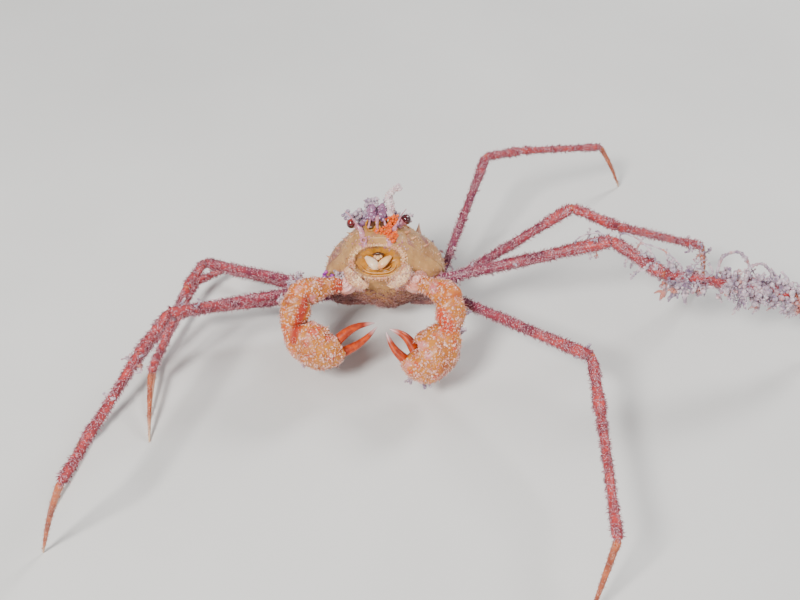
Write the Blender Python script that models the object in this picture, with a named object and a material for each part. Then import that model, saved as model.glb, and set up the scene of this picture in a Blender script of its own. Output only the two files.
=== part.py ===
# Scorpion spider crab (Inachus dorsettensis), a still life-size model.
# All sizes below are millimetres; meshes are written in metres at the end.
# +X is the crab's left, -Y is the way it faces, +Z is up, and the floor is z = 0.

from math import asin, cos, pi, radians, sin, sqrt
from random import Random

import bmesh
import bpy
from mathutils import Matrix, Vector

MM = 0.001
GAP = 0.3
COLLECTION_NAME = "scorpion_spider_crab"

# The trunk is reared up: its long axis leans back only a little from the vertical.
BODY_AT = Vector((-15.72, 14.79, 16.0))
BODY_TILT = 80.0
BODY_YAW = -4.0
BODY_LEAN = 6.0

# Level of the flat cut between the shell and the chest.
RIM_LEVEL = -2.5

# Hips in the trunk's own axes (forward, sideways, upward), walking pairs 2 to 5.
HIPS = {2: (-1.3, 8.4, -6.0), 3: (-4.6, 8.9, -5.1), 4: (-7.3, 9.0, -4.6), 5: (-9.9, 9.0, -4.3)}
CLAW_HIP = (1.0, 6.0, -6.9)
COXA_REACH = 2.4

# Lengths of the four leg pieces and the thickness of each pair.
PIECES = ("merus", "carpus", "propodus", "dactylus")
LENGTHS = {2: (36.8, 11.4, 27.0, 21.2), 3: (36.0, 10.3, 24.3, 17.6),
           4: (33.5, 9.6, 23.3, 16.4), 5: (32.5, 9.0, 23.2, 15.6)}
RADIUS = {2: 1.2, 3: 1.05, 4: 0.98, 5: 0.9}
# The right legs turn their narrow side to the viewer, so they are built a little slimmer.
RIGHT_SHARE = 0.87

# Each leg: side, pair, size against its pair, then azimuth and elevation of merus,
# carpus and propodus, and the azimuth of the dactylus, whose slope brings it to the floor.
LEGS = [
    (-1, 2, 0.96, (-153, 14), (-108, 4), (-110, -7), -165),
    (-1, 3, 0.78, (-176, 20), (-104, 8), (-134, -52), -86),
    (-1, 4, 0.96, (-169, 3), (-125, -3), (-120, -16), -102),
    (-1, 5, 0.88, (158, -3), (-130, 16), (-107, -8), -88),
    (1, 2, 1.00, (1, 17), (-40, -8), (2, -14), 5),
    (1, 3, 1.06, (-41, 12), (-85, -22), (-93, 6), -120),
    (1, 4, 1.00, (6, 38), (-10, -21), (17, -28), 41),
    (1, 5, 1.00, (66, 30), (28, -11), (28, -18), 20),
]


def body_matrix():
    """The trunk's own axes in the world: forward, sideways (the crab's left) and upward."""
    tilt = radians(BODY_TILT)
    forward = Vector((0, -cos(tilt), sin(tilt)))
    upward = Vector((0, sin(tilt), cos(tilt)))
    sideways = Vector((1, 0, 0))
    turn = Matrix.Rotation(radians(-BODY_LEAN), 3, "Y") @ Matrix.Rotation(radians(BODY_YAW), 3, "Z")
    return turn @ forward, turn @ sideways, turn @ upward


FORWARD, SIDEWAYS, UPWARD = body_matrix()


def on_body(forward, side, up):
    return BODY_AT + FORWARD * forward + SIDEWAYS * side + UPWARD * up


def material(name, colour, roughness):
    made = bpy.data.materials.new(name)
    made.use_nodes = True
    shader = made.node_tree.nodes["Principled BSDF"]
    shader.inputs["Base Color"].default_value = (*colour, 1.0)
    shader.inputs["Roughness"].default_value = roughness
    return made


def clear_scene():
    for old in list(bpy.data.objects):
        bpy.data.objects.remove(old)
    for kind in (bpy.data.meshes, bpy.data.materials, bpy.data.collections):
        for block in list(kind):
            kind.remove(block)


def loft(name, rings, finish):
    """A closed skin over rings that have the same number of points."""
    mesh = bmesh.new()
    rows = [[mesh.verts.new(point * MM) for point in ring] for ring in rings]
    for row, following in zip(rows, rows[1:]):
        for i in range(len(row)):
            j = (i + 1) % len(row)
            mesh.faces.new((row[i], row[j], following[j], following[i]))
    mesh.faces.new(rows[0])
    mesh.faces.new(rows[-1])
    bmesh.ops.triangulate(mesh, faces=mesh.faces[:])
    bmesh.ops.recalc_face_normals(mesh, faces=mesh.faces[:])
    data = bpy.data.meshes.new(name)
    mesh.to_mesh(data)
    mesh.free()
    made = bpy.data.objects.new(name, data)
    made.data.materials.append(finish)
    bpy.data.collections[COLLECTION_NAME].objects.link(made)
    return made


def keep_largest(node):
    """Drop all but the biggest closed surface of a fused node."""
    mesh = bmesh.new()
    mesh.from_mesh(node.data)
    unseen = set(mesh.verts)
    shells = []
    while unseen:
        shell = {unseen.pop()}
        front = list(shell)
        while front:
            for edge in front.pop().link_edges:
                for vert in edge.verts:
                    if vert in unseen:
                        unseen.discard(vert)
                        shell.add(vert)
                        front.append(vert)
        shells.append(shell)
    shells.sort(key=len)
    loose = [vert for shell in shells[:-1] for vert in shell]
    bmesh.ops.delete(mesh, geom=loose, context="VERTS")
    bmesh.ops.triangulate(mesh, faces=mesh.faces[:])
    mesh.to_mesh(node.data)
    mesh.free()


def fuse(node, extras):
    """Join extra closed pieces to a node by one union, then remove them."""
    group = bpy.data.collections.new(node.name + "_additions")
    bpy.context.scene.collection.children.link(group)
    for extra in extras:
        bpy.data.collections[COLLECTION_NAME].objects.unlink(extra)
        group.objects.link(extra)
    joint = node.modifiers.new("fuse", "BOOLEAN")
    joint.operation = "UNION"
    joint.operand_type = "COLLECTION"
    joint.collection = group
    joint.solver = "MANIFOLD"
    evaluated = node.evaluated_get(bpy.context.evaluated_depsgraph_get())
    fused = bpy.data.meshes.new_from_object(evaluated)
    node.modifiers.clear()
    node.data = fused
    for extra in extras:
        bpy.data.objects.remove(extra)
    bpy.data.collections.remove(group)
    keep_largest(node)


def ring(centre, across, over, width, height, sides):
    """Points round an ellipse of the given half width and half height."""
    points = []
    for i in range(sides):
        turn = 2 * pi * (i + 0.5) / sides
        points.append(centre + across * (width * cos(turn)) + over * (height * sin(turn)))
    return points


def side_axes(axis):
    across = axis.cross(Vector((0, 0, 1)))
    across = across.normalized() if across.length > 0.05 else Vector((1, 0, 0))
    return across, across.cross(axis).normalized()


def slide_to_plane(points, axis, plane_point, plane_normal):
    """Move points along an axis until they lie in a plane."""
    return [p + axis * ((plane_point - p).dot(plane_normal) / axis.dot(plane_normal)) for p in points]


def direction(azimuth, elevation):
    a = radians(azimuth)
    e = radians(elevation)
    return Vector((cos(a) * cos(e), sin(a) * cos(e), sin(e)))


def leg_joints(side, pair, size, merus, carpus, propodus, last_azimuth):
    """Hip, three joints and the foot, which stands at z = 0."""
    forward, out, up = HIPS[pair]
    joints = [on_body(forward, out * side, up)]
    lengths = [length * size for length in LENGTHS[pair]]
    for length, (azimuth, elevation) in zip(lengths, (merus, carpus, propodus)):
        joints.append(joints[-1] + direction(azimuth, elevation) * length)
    fall = joints[-1].z / lengths[3]
    slope = -asin(min(fall, 1.0)) * 180 / pi
    joints.append(joints[-1] + direction(last_azimuth, slope) * lengths[3])
    return joints


def segment(name, start, end, before, after, profile, sides, finish, sag=0.0):
    """A leg piece: rings by profile (share of length, radius), its ends cut where it bends."""
    axis = (end - start).normalized()
    length = (end - start).length
    across, over = side_axes(axis)
    rings = []
    for share, radius in profile:
        centre = start + axis * (length * share) + Vector((0, 0, sag * length * 4 * share * (1 - share)))
        rings.append(ring(centre, across, over, radius, radius, sides))
    start_cut = axis if before is None else (axis + before).normalized()
    end_cut = axis if after is None else (axis + after).normalized()
    start_face = start + start_cut * (GAP / 2)
    end_face = end - end_cut * (GAP / 2)
    if after is None:
        end_cut = Vector((0, 0, -1))
        end_face = Vector((0, 0, 0))
    count = len(rings)
    for i in range(1, count - 1):
        rings[i] = [keep_between(p, axis, start_face, start_cut, end_face, end_cut, i * 0.12,
                                 (count - 1 - i) * 0.12) for p in rings[i]]
    rings[0] = slide_to_plane(rings[0], axis, start_face, start_cut)
    rings[-1] = slide_to_plane(rings[-1], axis, end_face, end_cut)
    return loft(name, rings, finish)


def keep_between(point, axis, start_face, start_cut, end_face, end_cut, after_start, before_end):
    """Slide a point along the piece so that it stays clear of the cuts at both ends."""
    past_start = (point - start_face).dot(start_cut) - after_start
    if past_start < 0:
        point = point - axis * (past_start / axis.dot(start_cut))
    to_end = (end_face - point).dot(end_cut) - before_end
    if to_end < 0:
        point = point + axis * (to_end / axis.dot(end_cut))
    return point


PROFILES = {
    "merus": ((0.0, 0.80), (0.10, 0.88), (0.45, 0.98), (0.80, 0.98), (0.93, 1.10), (1.0, 0.92)),
    "carpus": ((0.0, 0.85), (0.22, 0.98), (0.55, 0.92), (0.78, 1.08), (1.0, 0.90)),
    "propodus": ((0.0, 0.85), (0.07, 0.92), (0.4, 0.82), (0.75, 0.75), (0.93, 0.84), (1.0, 0.70)),
    "dactylus": ((0.0, 0.62), (0.10, 0.66), (0.35, 0.55), (0.65, 0.44), (0.88, 0.32), (1.0, 0.24)),
}


# Growth on the legs: node, from and to as shares of its length, sprigs, reach, thickness.
GROWTHS = [
    ("left_leg_2_carpus", 0.35, 0.9, 3, 3.2, 0.42),
    ("left_leg_2_propodus", 0.04, 0.36, 8, 6.0, 0.45),
    ("left_leg_2_propodus", 0.40, 0.97, 14, 5.4, 0.45),
    ("left_leg_2_dactylus", 0.05, 0.55, 7, 4.0, 0.40),
    ("left_leg_2_merus", 0.88, 0.97, 2, 2.6, 0.40),
]


def leg_radius(side, pair):
    """Thickness of a leg, slimmer on the right."""
    return RADIUS[pair] * (RIGHT_SHARE if side < 0 else 1)


def build_leg(side, pair, size, *angles, finish):
    joints = leg_joints(side, pair, size, *angles)
    first = (joints[1] - joints[0]).normalized()
    joints[0] = joints[0] + first * COXA_REACH
    axes = [(b - a).normalized() for a, b in zip(joints, joints[1:])]
    label = ("left" if side > 0 else "right") + "_leg_" + str(pair)
    for i, piece in enumerate(PIECES):
        before = axes[i - 1] if i else None
        after = axes[i + 1] if i < 3 else None
        profile = [(share, radius * leg_radius(side, pair)) for share, radius in PROFILES[piece]]
        node = segment(label + "_" + piece, joints[i], joints[i + 1], before, after, profile, 8,
                       finish, sag=0.05 if piece == "dactylus" else 0.0)
        for place, low, high, count, reach, radius in GROWTHS:
            if place == node.name:
                start = joints[i].lerp(joints[i + 1], low)
                end = joints[i].lerp(joints[i + 1], high)
                add_growth(node, start, end, count, reach, radius, len(place) + count, finish)


# Stations along the trunk: forward place, half width, top of the shell, underside.
TRUNK = [
    (-12.9, 2.2, -0.6, -3.1),
    (-12.2, 4.4, 1.6, -3.9),
    (-10.6, 6.9, 3.9, -5.1),
    (-8.2, 9.2, 5.6, -6.4),
    (-5.2, 11.2, 6.5, -7.6),
    (-2.2, 11.9, 6.7, -8.5),
    (0.8, 10.9, 6.2, -8.8),
    (3.4, 8.8, 5.2, -8.3),
    (5.4, 7.2, 4.2, -7.3),
    (7.0, 5.8, 3.4, -6.1),
    (8.2, 4.4, 2.8, -4.4),
    (9.0, 3.2, 2.4, -3.4),
]
# The chest is narrower than the shell behind and as wide as it in front.
CHEST_SHARE_BEHIND = 0.74
CHEST_WIDENS_FROM = -3.0
CHEST_WIDENS_TO = 5.0


def chest_share(place):
    mix = (place - CHEST_WIDENS_FROM) / (CHEST_WIDENS_TO - CHEST_WIDENS_FROM)
    mix = min(1.0, max(0.0, mix))
    return CHEST_SHARE_BEHIND + (0.97 - CHEST_SHARE_BEHIND) * mix


def trunk_half(name, upper, sides, finish):
    """Half of the trunk, above or below the flat cut at the rim."""
    rings = []
    for place, width, top, under in TRUNK:
        if upper:
            level = RIM_LEVEL + GAP / 2
            rise = top - level
        else:
            level = RIM_LEVEL - GAP / 2
            rise = under - level
            width = width * chest_share(place)
        points = []
        for i in range(sides + 1):
            turn = pi * i / sides
            points.append(on_body(place, width * cos(turn), level + rise * abs(sin(turn)) ** 0.85))
        rings.append(points)
    return loft(name, rings, finish)


def spike(root, tip, radius, finish, sides=6):
    """A short spine that tapers from a sunk root to its point."""
    axis = (tip - root).normalized()
    across, over = side_axes(axis)
    sunk = root - axis * radius
    middle = root.lerp(tip, 0.45)
    rings = [ring(sunk, across, over, radius * 1.1, radius * 1.1, sides),
             ring(root, across, over, radius, radius, sides),
             ring(middle, across, over, radius * 0.62, radius * 0.62, sides),
             ring(tip, across, over, radius * 0.16, radius * 0.16, sides)]
    return loft("spike", rings, finish)


def shell_top(forward, side):
    """Height of the shell above the trunk's own level at a place on it."""
    for (a0, w0, t0, _), (a1, w1, t1, _) in zip(TRUNK, TRUNK[1:]):
        if a0 <= forward <= a1:
            mix = (forward - a0) / (a1 - a0)
            width = w0 + (w1 - w0) * mix
            top = t0 + (t1 - t0) * mix
            level = RIM_LEVEL + GAP / 2
            inside = max(0.0, 1 - (side / width) ** 2)
            return level + (top - level) * sqrt(inside) ** 0.85
    return 0.0


# The tail flap: forward place and half width of its rings.
PLEON = ((-12.0, 1.6), (-10.4, 2.2), (-8.2, 2.4), (-5.2, 2.1), (-3.0, 1.6), (-1.6, 0.8))
PLEON_HALF_THICKNESS = 0.35

# The mouth: middle of its frame on the trunk, the slope of its plane, half sizes.
MOUTH_AT = (6.2, 0.0, -6.0)
MOUTH_SLOPE = radians(49)
MOUTH_HALF_WIDTH = 4.9
MOUTH_HALF_HEIGHT = 3.2
MOUTH_SIDES = 20
# The outer mouthparts, folded open beside the mouth: sideways, along, out, half width.
MOUTHPART = ((2.2, -4.8, 1.1, 0.6), (3.7, -4.0, 1.25, 1.15), (5.1, -2.6, 1.2, 1.15), (6.1, -0.9, 1.25, 0.5))
MOUTHPART_HALF_THICKNESS = 0.42

# A feeler's path in the trunk's axes and its radius: forward, sideways, upward, radius.
ANTENNA = ((9.35, 2.3, -0.8, 0.55), (10.0, 2.8, -0.6, 0.6), (10.9, 3.6, -0.2, 0.45), (12.0, 4.5, 0.5, 0.32),
           (13.2, 5.6, 1.0, 0.25))

# Spines on the shell: forward, side, length and radius.
SHELL_SPINES = [
    (4.6, 1.3, 0.9, 0.45), (4.2, 3.4, 0.9, 0.45),
    (1.6, 0.0, 2.0, 0.75), (-3.2, 6.2, 2.4, 0.85), (-4.6, 0.0, 2.3, 0.85), (-9.2, 0.0, 1.4, 0.7),
]
EDGE_SPINES = [(5.8, 6.3, 1.6), (3.2, 8.4, 1.5), (0.2, 10.7, 1.3), (-3.4, 11.8, 1.2)]


def build_shell(finish):
    shell = trunk_half("carapace", True, 22, finish)
    extras = []
    for side in (-1, 1):
        horn_root = on_body(8.4, 1.15 * side, 1.3)
        horn_tip = on_body(13.0, 0.75 * side, 1.9)
        extras.append(spike(horn_root, horn_tip, 0.95, finish, sides=8))
        for forward, out, length in EDGE_SPINES:
            root = on_body(forward, (out - 0.4) * side, -0.6)
            tip = on_body(forward + length * 0.6, (out - 0.4 + length) * side, -0.3)
            extras.append(spike(root, tip, 0.55, finish))
        orbit_root = on_body(6.6, 4.9 * side, 0.2)
        extras.append(spike(orbit_root, on_body(8.1, 6.3 * side, -0.2), 0.6, finish))
    for forward, out, length, radius in SHELL_SPINES:
        for side in ((-1, 1) if out else (1,)):
            level = shell_top(forward, out)
            root = on_body(forward, out * side, level - 0.2)
            tip = on_body(forward + length * 0.3, out * side * 1.04, level + length)
            extras.append(spike(root, tip, radius, finish))
    fuse(shell, extras)
    add_growth(shell, on_body(7.6, -1.6, 1.6), on_body(8.6, 1.6, 1.6), 7, 5.0, 0.45, 5, finish,
               hang=0.0, facing=FORWARD * 0.7 + UPWARD * 0.7)


def build_thorax(finish):
    thorax = trunk_half("thorax", False, 22, finish)
    extras = []
    for side, pair, _, merus, *_ in LEGS:
        extras.append(coxa(HIPS[pair], side, direction(*merus), leg_radius(side, pair) * 1.1, finish))
    for claw in CLAWS:
        hip = claw_hip(claw)
        axis = (claw["merus_end"] - hip).normalized()
        extras.append(coxa(CLAW_HIP, claw["side"], axis, CLAW_COXA_RADIUS, finish))
    extras.append(mouth_frame(finish))
    fuse(thorax, extras)
    fuse(thorax, [mandible(side, finish) for side in (-1, 1)])


def claw_hip(claw):
    forward, out, up = CLAW_HIP
    return on_body(forward, out * claw["side"], up)


def coxa(hip, side, axis, radius, finish):
    """The short first joint, from inside the chest to the face that carries a limb."""
    forward, out, up = hip
    inner = on_body(forward, out * side * 0.5, up)
    centre = on_body(forward, out * side, up)
    outward = (centre - inner).normalized()
    end = centre + axis * (COXA_REACH - GAP / 2)
    rings = []
    for place, heading, size in ((inner, outward, 1.0), (centre, (outward + axis).normalized(), 1.1),
                                 (centre.lerp(end, 0.6), axis, 1.05), (end, axis, 0.9)):
        across, over = side_axes(heading)
        rings.append(ring(place, across, over, radius * size, radius * size, 8))
    return loft("coxa", rings, finish)


# Claws: joints in millimetres from the trunk's centre over the floor; the spread is the
# direction across the two fingers, towards the movable one.
CLAWS = [
    {"side": -1, "merus_end": Vector((-15.9, -13.4, 19.0)), "wrist": Vector((-17.2, -17.6, 14.6)),
     "finger_root": Vector((-8.0, -19.2, 10.6)), "tip": Vector((-1.4, -16.1, 13.0)),
     "spread": Vector((-0.45, 0.62, 0.64)), "height": 4.3, "depth": 4.4, "bend": 5.0},
    {"side": 1, "merus_end": Vector((12.8, -14.4, 19.4)), "wrist": Vector((12.6, -18.4, 15.2)),
     "finger_root": Vector((5.0, -21.6, 10.9)), "tip": Vector((0.9, -18.6, 14.2)),
     "spread": Vector((0.45, 0.62, 0.64)), "height": 4.9, "depth": 4.6, "bend": 5.0},
]
for claw in CLAWS:
    for key in ("merus_end", "wrist", "finger_root", "tip"):
        claw[key] = claw[key] + Vector((BODY_AT.x, BODY_AT.y, 0))
    claw["spread"].normalize()

# Claw pieces as share of length and radius, the palm's as a share of its depth and height.
ARM_PROFILE = ((0.0, 1.4), (0.2, 1.75), (0.55, 2.3), (0.85, 2.6), (1.0, 2.2))
WRIST_PROFILE = ((0.0, 2.1), (0.3, 2.7), (0.65, 2.9), (1.0, 2.2))
PALM_PROFILE = ((0.0, 0.50), (0.12, 0.80), (0.32, 0.99), (0.58, 1.0), (0.80, 0.82), (0.93, 0.62), (1.0, 0.50))
FINGER_PROFILE = ((0.0, 1.15), (0.25, 1.0), (0.55, 0.75), (0.82, 0.48), (1.0, 0.22))
CLAW_COXA_RADIUS = 1.75


def build_claw(claw, finish, finger_finish):
    label = "left_claw_" if claw["side"] > 0 else "right_claw_"
    hip = claw_hip(claw)
    first = (claw["merus_end"] - hip).normalized()
    start = hip + first * COXA_REACH
    second = (claw["wrist"] - claw["merus_end"]).normalized()
    palm_axis = along_palm(claw, 0.0)[1]
    segment(label + "merus", start, claw["merus_end"], None, second,
            ARM_PROFILE, 12, finish)
    segment(label + "carpus", claw["merus_end"], claw["wrist"], first, palm_axis,
            WRIST_PROFILE, 12, finish)
    rings = []
    for share, size in PALM_PROFILE:
        centre, tangent = along_palm(claw, share)
        across = tangent.cross(claw["spread"]).normalized()
        over = across.cross(tangent).normalized()
        rings.append(ring(centre, across, over, claw["depth"] * size, claw["height"] * size, 16))
    cut = (second + palm_axis).normalized()
    rings[0] = slide_to_plane(rings[0], palm_axis, claw["wrist"] + cut * (GAP / 2), cut)
    palm = loft(label + "palm", rings, finish)
    fuse(palm, [finger("finger", claw, over, -1.15, -0.8, tangent, finish)])
    finger(label + "finger", claw, over, 1.35, GAP, tangent, finger_finish)


def along_palm(claw, share):
    """Centre and heading along the palm, which bends towards the fingers."""
    wrist = claw["wrist"]
    root = claw["finger_root"]
    bend = root - (claw["tip"] - root).normalized() * claw["bend"]
    centre = wrist * (1 - share) ** 2 + bend * (2 * share * (1 - share)) + root * share ** 2
    heading = (bend - wrist) * (1 - share) + (root - bend) * share
    return centre, heading.normalized()


def finger(name, claw, over, offset, start_gap, heading, finish):
    """One curved finger; a negative gap sinks its root into the palm."""
    root = claw["finger_root"] + over * offset + heading * start_gap
    tip = claw["tip"] + over * (offset * 0.35)
    axis = (tip - root).normalized()
    across = axis.cross(over).normalized()
    rings = []
    for share, radius in FINGER_PROFILE:
        centre = root.lerp(tip, share) + over * (offset * 0.55 * sin(pi * share))
        rings.append(ring(centre, across, over, radius, radius, 8))
    rings[0] = slide_to_plane(rings[0], axis, root, heading)
    return loft(name, rings, finish)


def build_eye(side, finish):
    label = ("left" if side > 0 else "right") + "_eye"
    start = on_body(8.4, 4.2 * side, 1.1)
    end = on_body(9.1, 5.8 * side, 1.95 + 0.35 * side)
    axis = (end - start).normalized()
    across, over = side_axes(axis)
    rings = []
    for share, radius in ((0.0, 0.5), (0.3, 0.55), (0.48, 0.85), (0.68, 1.0), (0.88, 0.85), (1.0, 0.42)):
        rings.append(ring(start.lerp(end, share), across, over, radius, radius, 10))
    loft(label, rings, finish)


def build_antenna(side, finish):
    label = ("left" if side > 0 else "right") + "_antenna"
    path = [on_body(forward, out * side, up) for forward, out, up, _ in ANTENNA]
    last = len(path) - 1
    rings = []
    for i, (centre, (_, _, _, radius)) in enumerate(zip(path, ANTENNA)):
        axis = (path[min(i + 1, last)] - path[max(i - 1, 0)]).normalized()
        across, over = side_axes(axis)
        rings.append(ring(centre, across, over, radius, radius, 8))
    rings[0] = slide_to_plane(rings[0], FORWARD, path[0], FORWARD)
    loft(label, rings, finish)


def underside(forward):
    """Level of the chest's middle line at a place along the trunk."""
    for (a0, _, _, u0), (a1, _, _, u1) in zip(TRUNK, TRUNK[1:]):
        if a0 <= forward <= a1:
            return u0 + (u1 - u0) * (forward - a0) / (a1 - a0)
    return TRUNK[0][3]


def build_pleon(finish):
    """The narrow tail flap folded under the back of the chest."""
    rings = []
    for forward, width in PLEON:
        centre = on_body(forward, 0, underside(forward) - GAP - PLEON_HALF_THICKNESS - 0.1)
        rings.append(ring(centre, SIDEWAYS, UPWARD, width, PLEON_HALF_THICKNESS, 10))
    loft("pleon", rings, finish)


def on_mouth(sideways, along, out):
    """A place in the plane of the mouth: sideways, towards the snout and out of it."""
    mouth_up = FORWARD * cos(MOUTH_SLOPE) + UPWARD * sin(MOUTH_SLOPE)
    mouth_out = FORWARD * sin(MOUTH_SLOPE) - UPWARD * cos(MOUTH_SLOPE)
    return on_body(*MOUTH_AT) + SIDEWAYS * sideways + mouth_up * along + mouth_out * out


def mouth_oval(width, height, out):
    """Points round an oval in the plane of the mouth."""
    turns = [2 * pi * i / MOUTH_SIDES for i in range(MOUTH_SIDES)]
    return [on_mouth(width * cos(turn), height * sin(turn), out) for turn in turns]


def mouth_frame(finish):
    """The raised beaded frame round the mouth, with the cavity's floor inside it."""
    rings = [mouth_oval(MOUTH_HALF_WIDTH + 0.4, MOUTH_HALF_HEIGHT + 0.3, -1.0),
             mouth_oval(MOUTH_HALF_WIDTH + 0.5, MOUTH_HALF_HEIGHT + 0.5, -0.3),
             mouth_oval(MOUTH_HALF_WIDTH + 0.3, MOUTH_HALF_HEIGHT + 0.3, 0.35),
             mouth_oval(MOUTH_HALF_WIDTH - 0.3, MOUTH_HALF_HEIGHT - 0.3, 0.4),
             mouth_oval(MOUTH_HALF_WIDTH - 0.7, MOUTH_HALF_HEIGHT - 0.7, -0.1),
             mouth_oval(MOUTH_HALF_WIDTH - 2.0, MOUTH_HALF_HEIGHT - 1.8, -0.9)]
    return loft("mouth_frame", rings, finish)


def mandible(side, finish):
    """One of the two pale jaws that meet in the mouth."""
    rings = []
    for along, out, width in ((1.3, -1.2, 0.5), (0.7, -0.2, 0.9), (-0.2, 0.35, 1.05), (-1.1, 0.1, 0.8),
                              (-1.7, -1.0, 0.4)):
        rings.append(ring(on_mouth(1.25 * side, along, out - 0.3), SIDEWAYS, UPWARD, width, 0.5, 8))
    return loft("mandible", rings, finish)


def build_mouthparts(side, finish):
    """An outer mouthpart, folded back beside the mouth."""
    label = ("left" if side > 0 else "right") + "_maxilliped"
    rings = []
    across = on_mouth(0.79 * side, -0.61, 0) - on_mouth(0, 0, 0)
    over = on_mouth(0, 0, 1) - on_mouth(0, 0, 0)
    for sideways, along, out, width in MOUTHPART:
        centre = on_mouth(sideways * side, along, out)
        rings.append(ring(centre, across, over, width, MOUTHPART_HALF_THICKNESS, 8))
    loft(label, rings, finish)


def strand(path, radius, finish, sides=5):
    """A bent strand of growth that thins along its path."""
    rings = []
    last = len(path) - 1
    for i, centre in enumerate(path):
        axis = (path[min(i + 1, last)] - path[max(i - 1, 0)]).normalized()
        across, over = side_axes(axis)
        size = radius * (1 - 0.6 * i / last)
        rings.append(ring(centre, across, over, size, size, sides))
    return loft("strand", rings, finish)


def add_growth(node, start, end, count, reach, radius, seed, finish, hang=0.35, facing=None):
    """Sprigs of hydroids and worm tubes rooted along a line inside a node."""
    chance = Random(seed)
    axis = (end - start).normalized()
    across, over = side_axes(axis)
    sprigs = []
    for i in range(count):
        share = (i + 0.3 + 0.4 * chance.random()) / count
        root = start.lerp(end, share)
        turn = 2 * pi * (i * 0.382 + 0.08 * chance.random())
        out = across * cos(turn) + over * sin(turn)
        if facing:
            out = (out * 0.5 + facing).normalized()
        length = reach * (0.55 + 0.45 * chance.random())
        lean = axis * (0.8 * chance.random() - 0.4)
        droop = Vector((0, 0, -hang * length * chance.random()))
        middle = root + (out + lean) * (length * 0.5)
        tip = root + (out + lean * 1.8).normalized() * length + droop
        sprigs.append(strand([root, middle, tip], radius, finish))
    fuse(node, sprigs)


def build_crab():
    clear_scene()
    crab = bpy.data.collections.new(COLLECTION_NAME)
    bpy.context.scene.collection.children.link(crab)
    shell_finish = material("shell_buff", (0.55, 0.38, 0.24), 0.6)
    chest_finish = material("chest_tan", (0.48, 0.32, 0.22), 0.6)
    leg_finish = material("leg_pink", (0.50, 0.22, 0.20), 0.7)
    claw_finish = material("claw_buff", (0.62, 0.40, 0.22), 0.6)
    finger_finish = material("finger_orange", (0.70, 0.20, 0.06), 0.4)
    eye_finish = material("eye_red", (0.20, 0.02, 0.01), 0.2)
    build_shell(shell_finish)
    build_thorax(chest_finish)
    build_pleon(chest_finish)
    for side in (-1, 1):
        build_eye(side, eye_finish)
        build_antenna(side, leg_finish)
        build_mouthparts(side, chest_finish)
    for claw in CLAWS:
        build_claw(claw, claw_finish, finger_finish)
    for leg in LEGS:
        build_leg(*leg, finish=leg_finish)
    for node in crab.objects:
        node.data.shade_smooth()
        node.data.set_sharp_from_angle(angle=radians(50))


build_crab()
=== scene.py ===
# %% [markdown]
# A scorpion spider crab, life size: long thin legs, a pear-shaped shell, two granular claws.
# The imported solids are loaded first, because they say where every joint and every hip is.
# The looks are then built round them, piece by piece, in the same frame.

from math import asin, cos, pi, radians, sin

import bmesh
import bpy
import numpy as np
from mathutils import Matrix, Vector


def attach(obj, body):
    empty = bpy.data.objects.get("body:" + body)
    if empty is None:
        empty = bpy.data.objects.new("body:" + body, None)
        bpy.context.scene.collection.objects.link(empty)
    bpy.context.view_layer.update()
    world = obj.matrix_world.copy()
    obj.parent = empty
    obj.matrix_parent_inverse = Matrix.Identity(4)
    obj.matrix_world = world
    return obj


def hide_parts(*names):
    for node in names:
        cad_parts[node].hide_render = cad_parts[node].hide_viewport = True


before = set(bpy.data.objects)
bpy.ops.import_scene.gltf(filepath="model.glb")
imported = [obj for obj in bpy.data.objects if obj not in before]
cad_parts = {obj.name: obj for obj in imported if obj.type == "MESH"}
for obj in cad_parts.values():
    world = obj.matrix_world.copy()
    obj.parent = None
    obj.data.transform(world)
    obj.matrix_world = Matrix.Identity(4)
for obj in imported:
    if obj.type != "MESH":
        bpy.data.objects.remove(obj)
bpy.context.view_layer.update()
MM = 0.001

# %% [markdown]
# The trunk of this crab is reared up, so its own axes are turned against the floor.
# Working in the trunk's axes (forward, sideways, upward) keeps every later number readable.
# Three turns in a row do that; the same named angles are used in the solids.
# Both crab sides follow the same recipe, with side -1 for its right and 1 for its left.

# %% The trunk's own axes
BODY_AT = np.array([-15.72, 14.79, 16.0])
BODY_TILT = radians(80)
BODY_YAW = radians(-4)
BODY_LEAN = radians(6)
SIDE_NAMES = {-1: "right", 1: "left"}

trunk_turn = Matrix.Rotation(-BODY_LEAN, 3, "Y") @ Matrix.Rotation(BODY_YAW, 3, "Z")
FORWARD = np.array(trunk_turn @ Vector((0, -cos(BODY_TILT), sin(BODY_TILT))))
SIDEWAYS = np.array(trunk_turn @ Vector((1, 0, 0)))
UPWARD = np.array(trunk_turn @ Vector((0, sin(BODY_TILT), cos(BODY_TILT))))


def on_body(forward, side, up):
    """A place in the trunk's axes as millimetres in the frame, for single values or arrays."""
    axes = (FORWARD, SIDEWAYS, UPWARD)
    parts = [np.multiply.outer(value, axis) for value, axis in zip((forward, side, up), axes)]
    return BODY_AT + parts[0] + parts[1] + parts[2]


print("the snout points to", FORWARD.round(2))

# %% [markdown]
# The photograph looks down on the crab from in front, at 47 degrees, from about 21 cm away.
# A 45 mm lens on Blender's 36 mm sensor gives the same width of view.
# The camera is placed in millimetres from the trunk, so it follows if the trunk is moved.

# %% Camera
CAMERA_FROM_TRUNK = np.array([3.2, -143.0, 140.1])
CAMERA_PITCH = radians(43)
CAMERA_LENS = 45

camera = bpy.data.objects.new("camera", bpy.data.cameras.new("camera"))
camera.location = (BODY_AT + CAMERA_FROM_TRUNK) * MM
camera.rotation_euler = (CAMERA_PITCH, 0, 0)
camera.data.lens = CAMERA_LENS
camera.data.clip_start = MM
bpy.context.scene.collection.objects.link(camera)
bpy.context.scene.camera = camera
print("camera at", tuple(round(value, 3) for value in camera.location))

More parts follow.
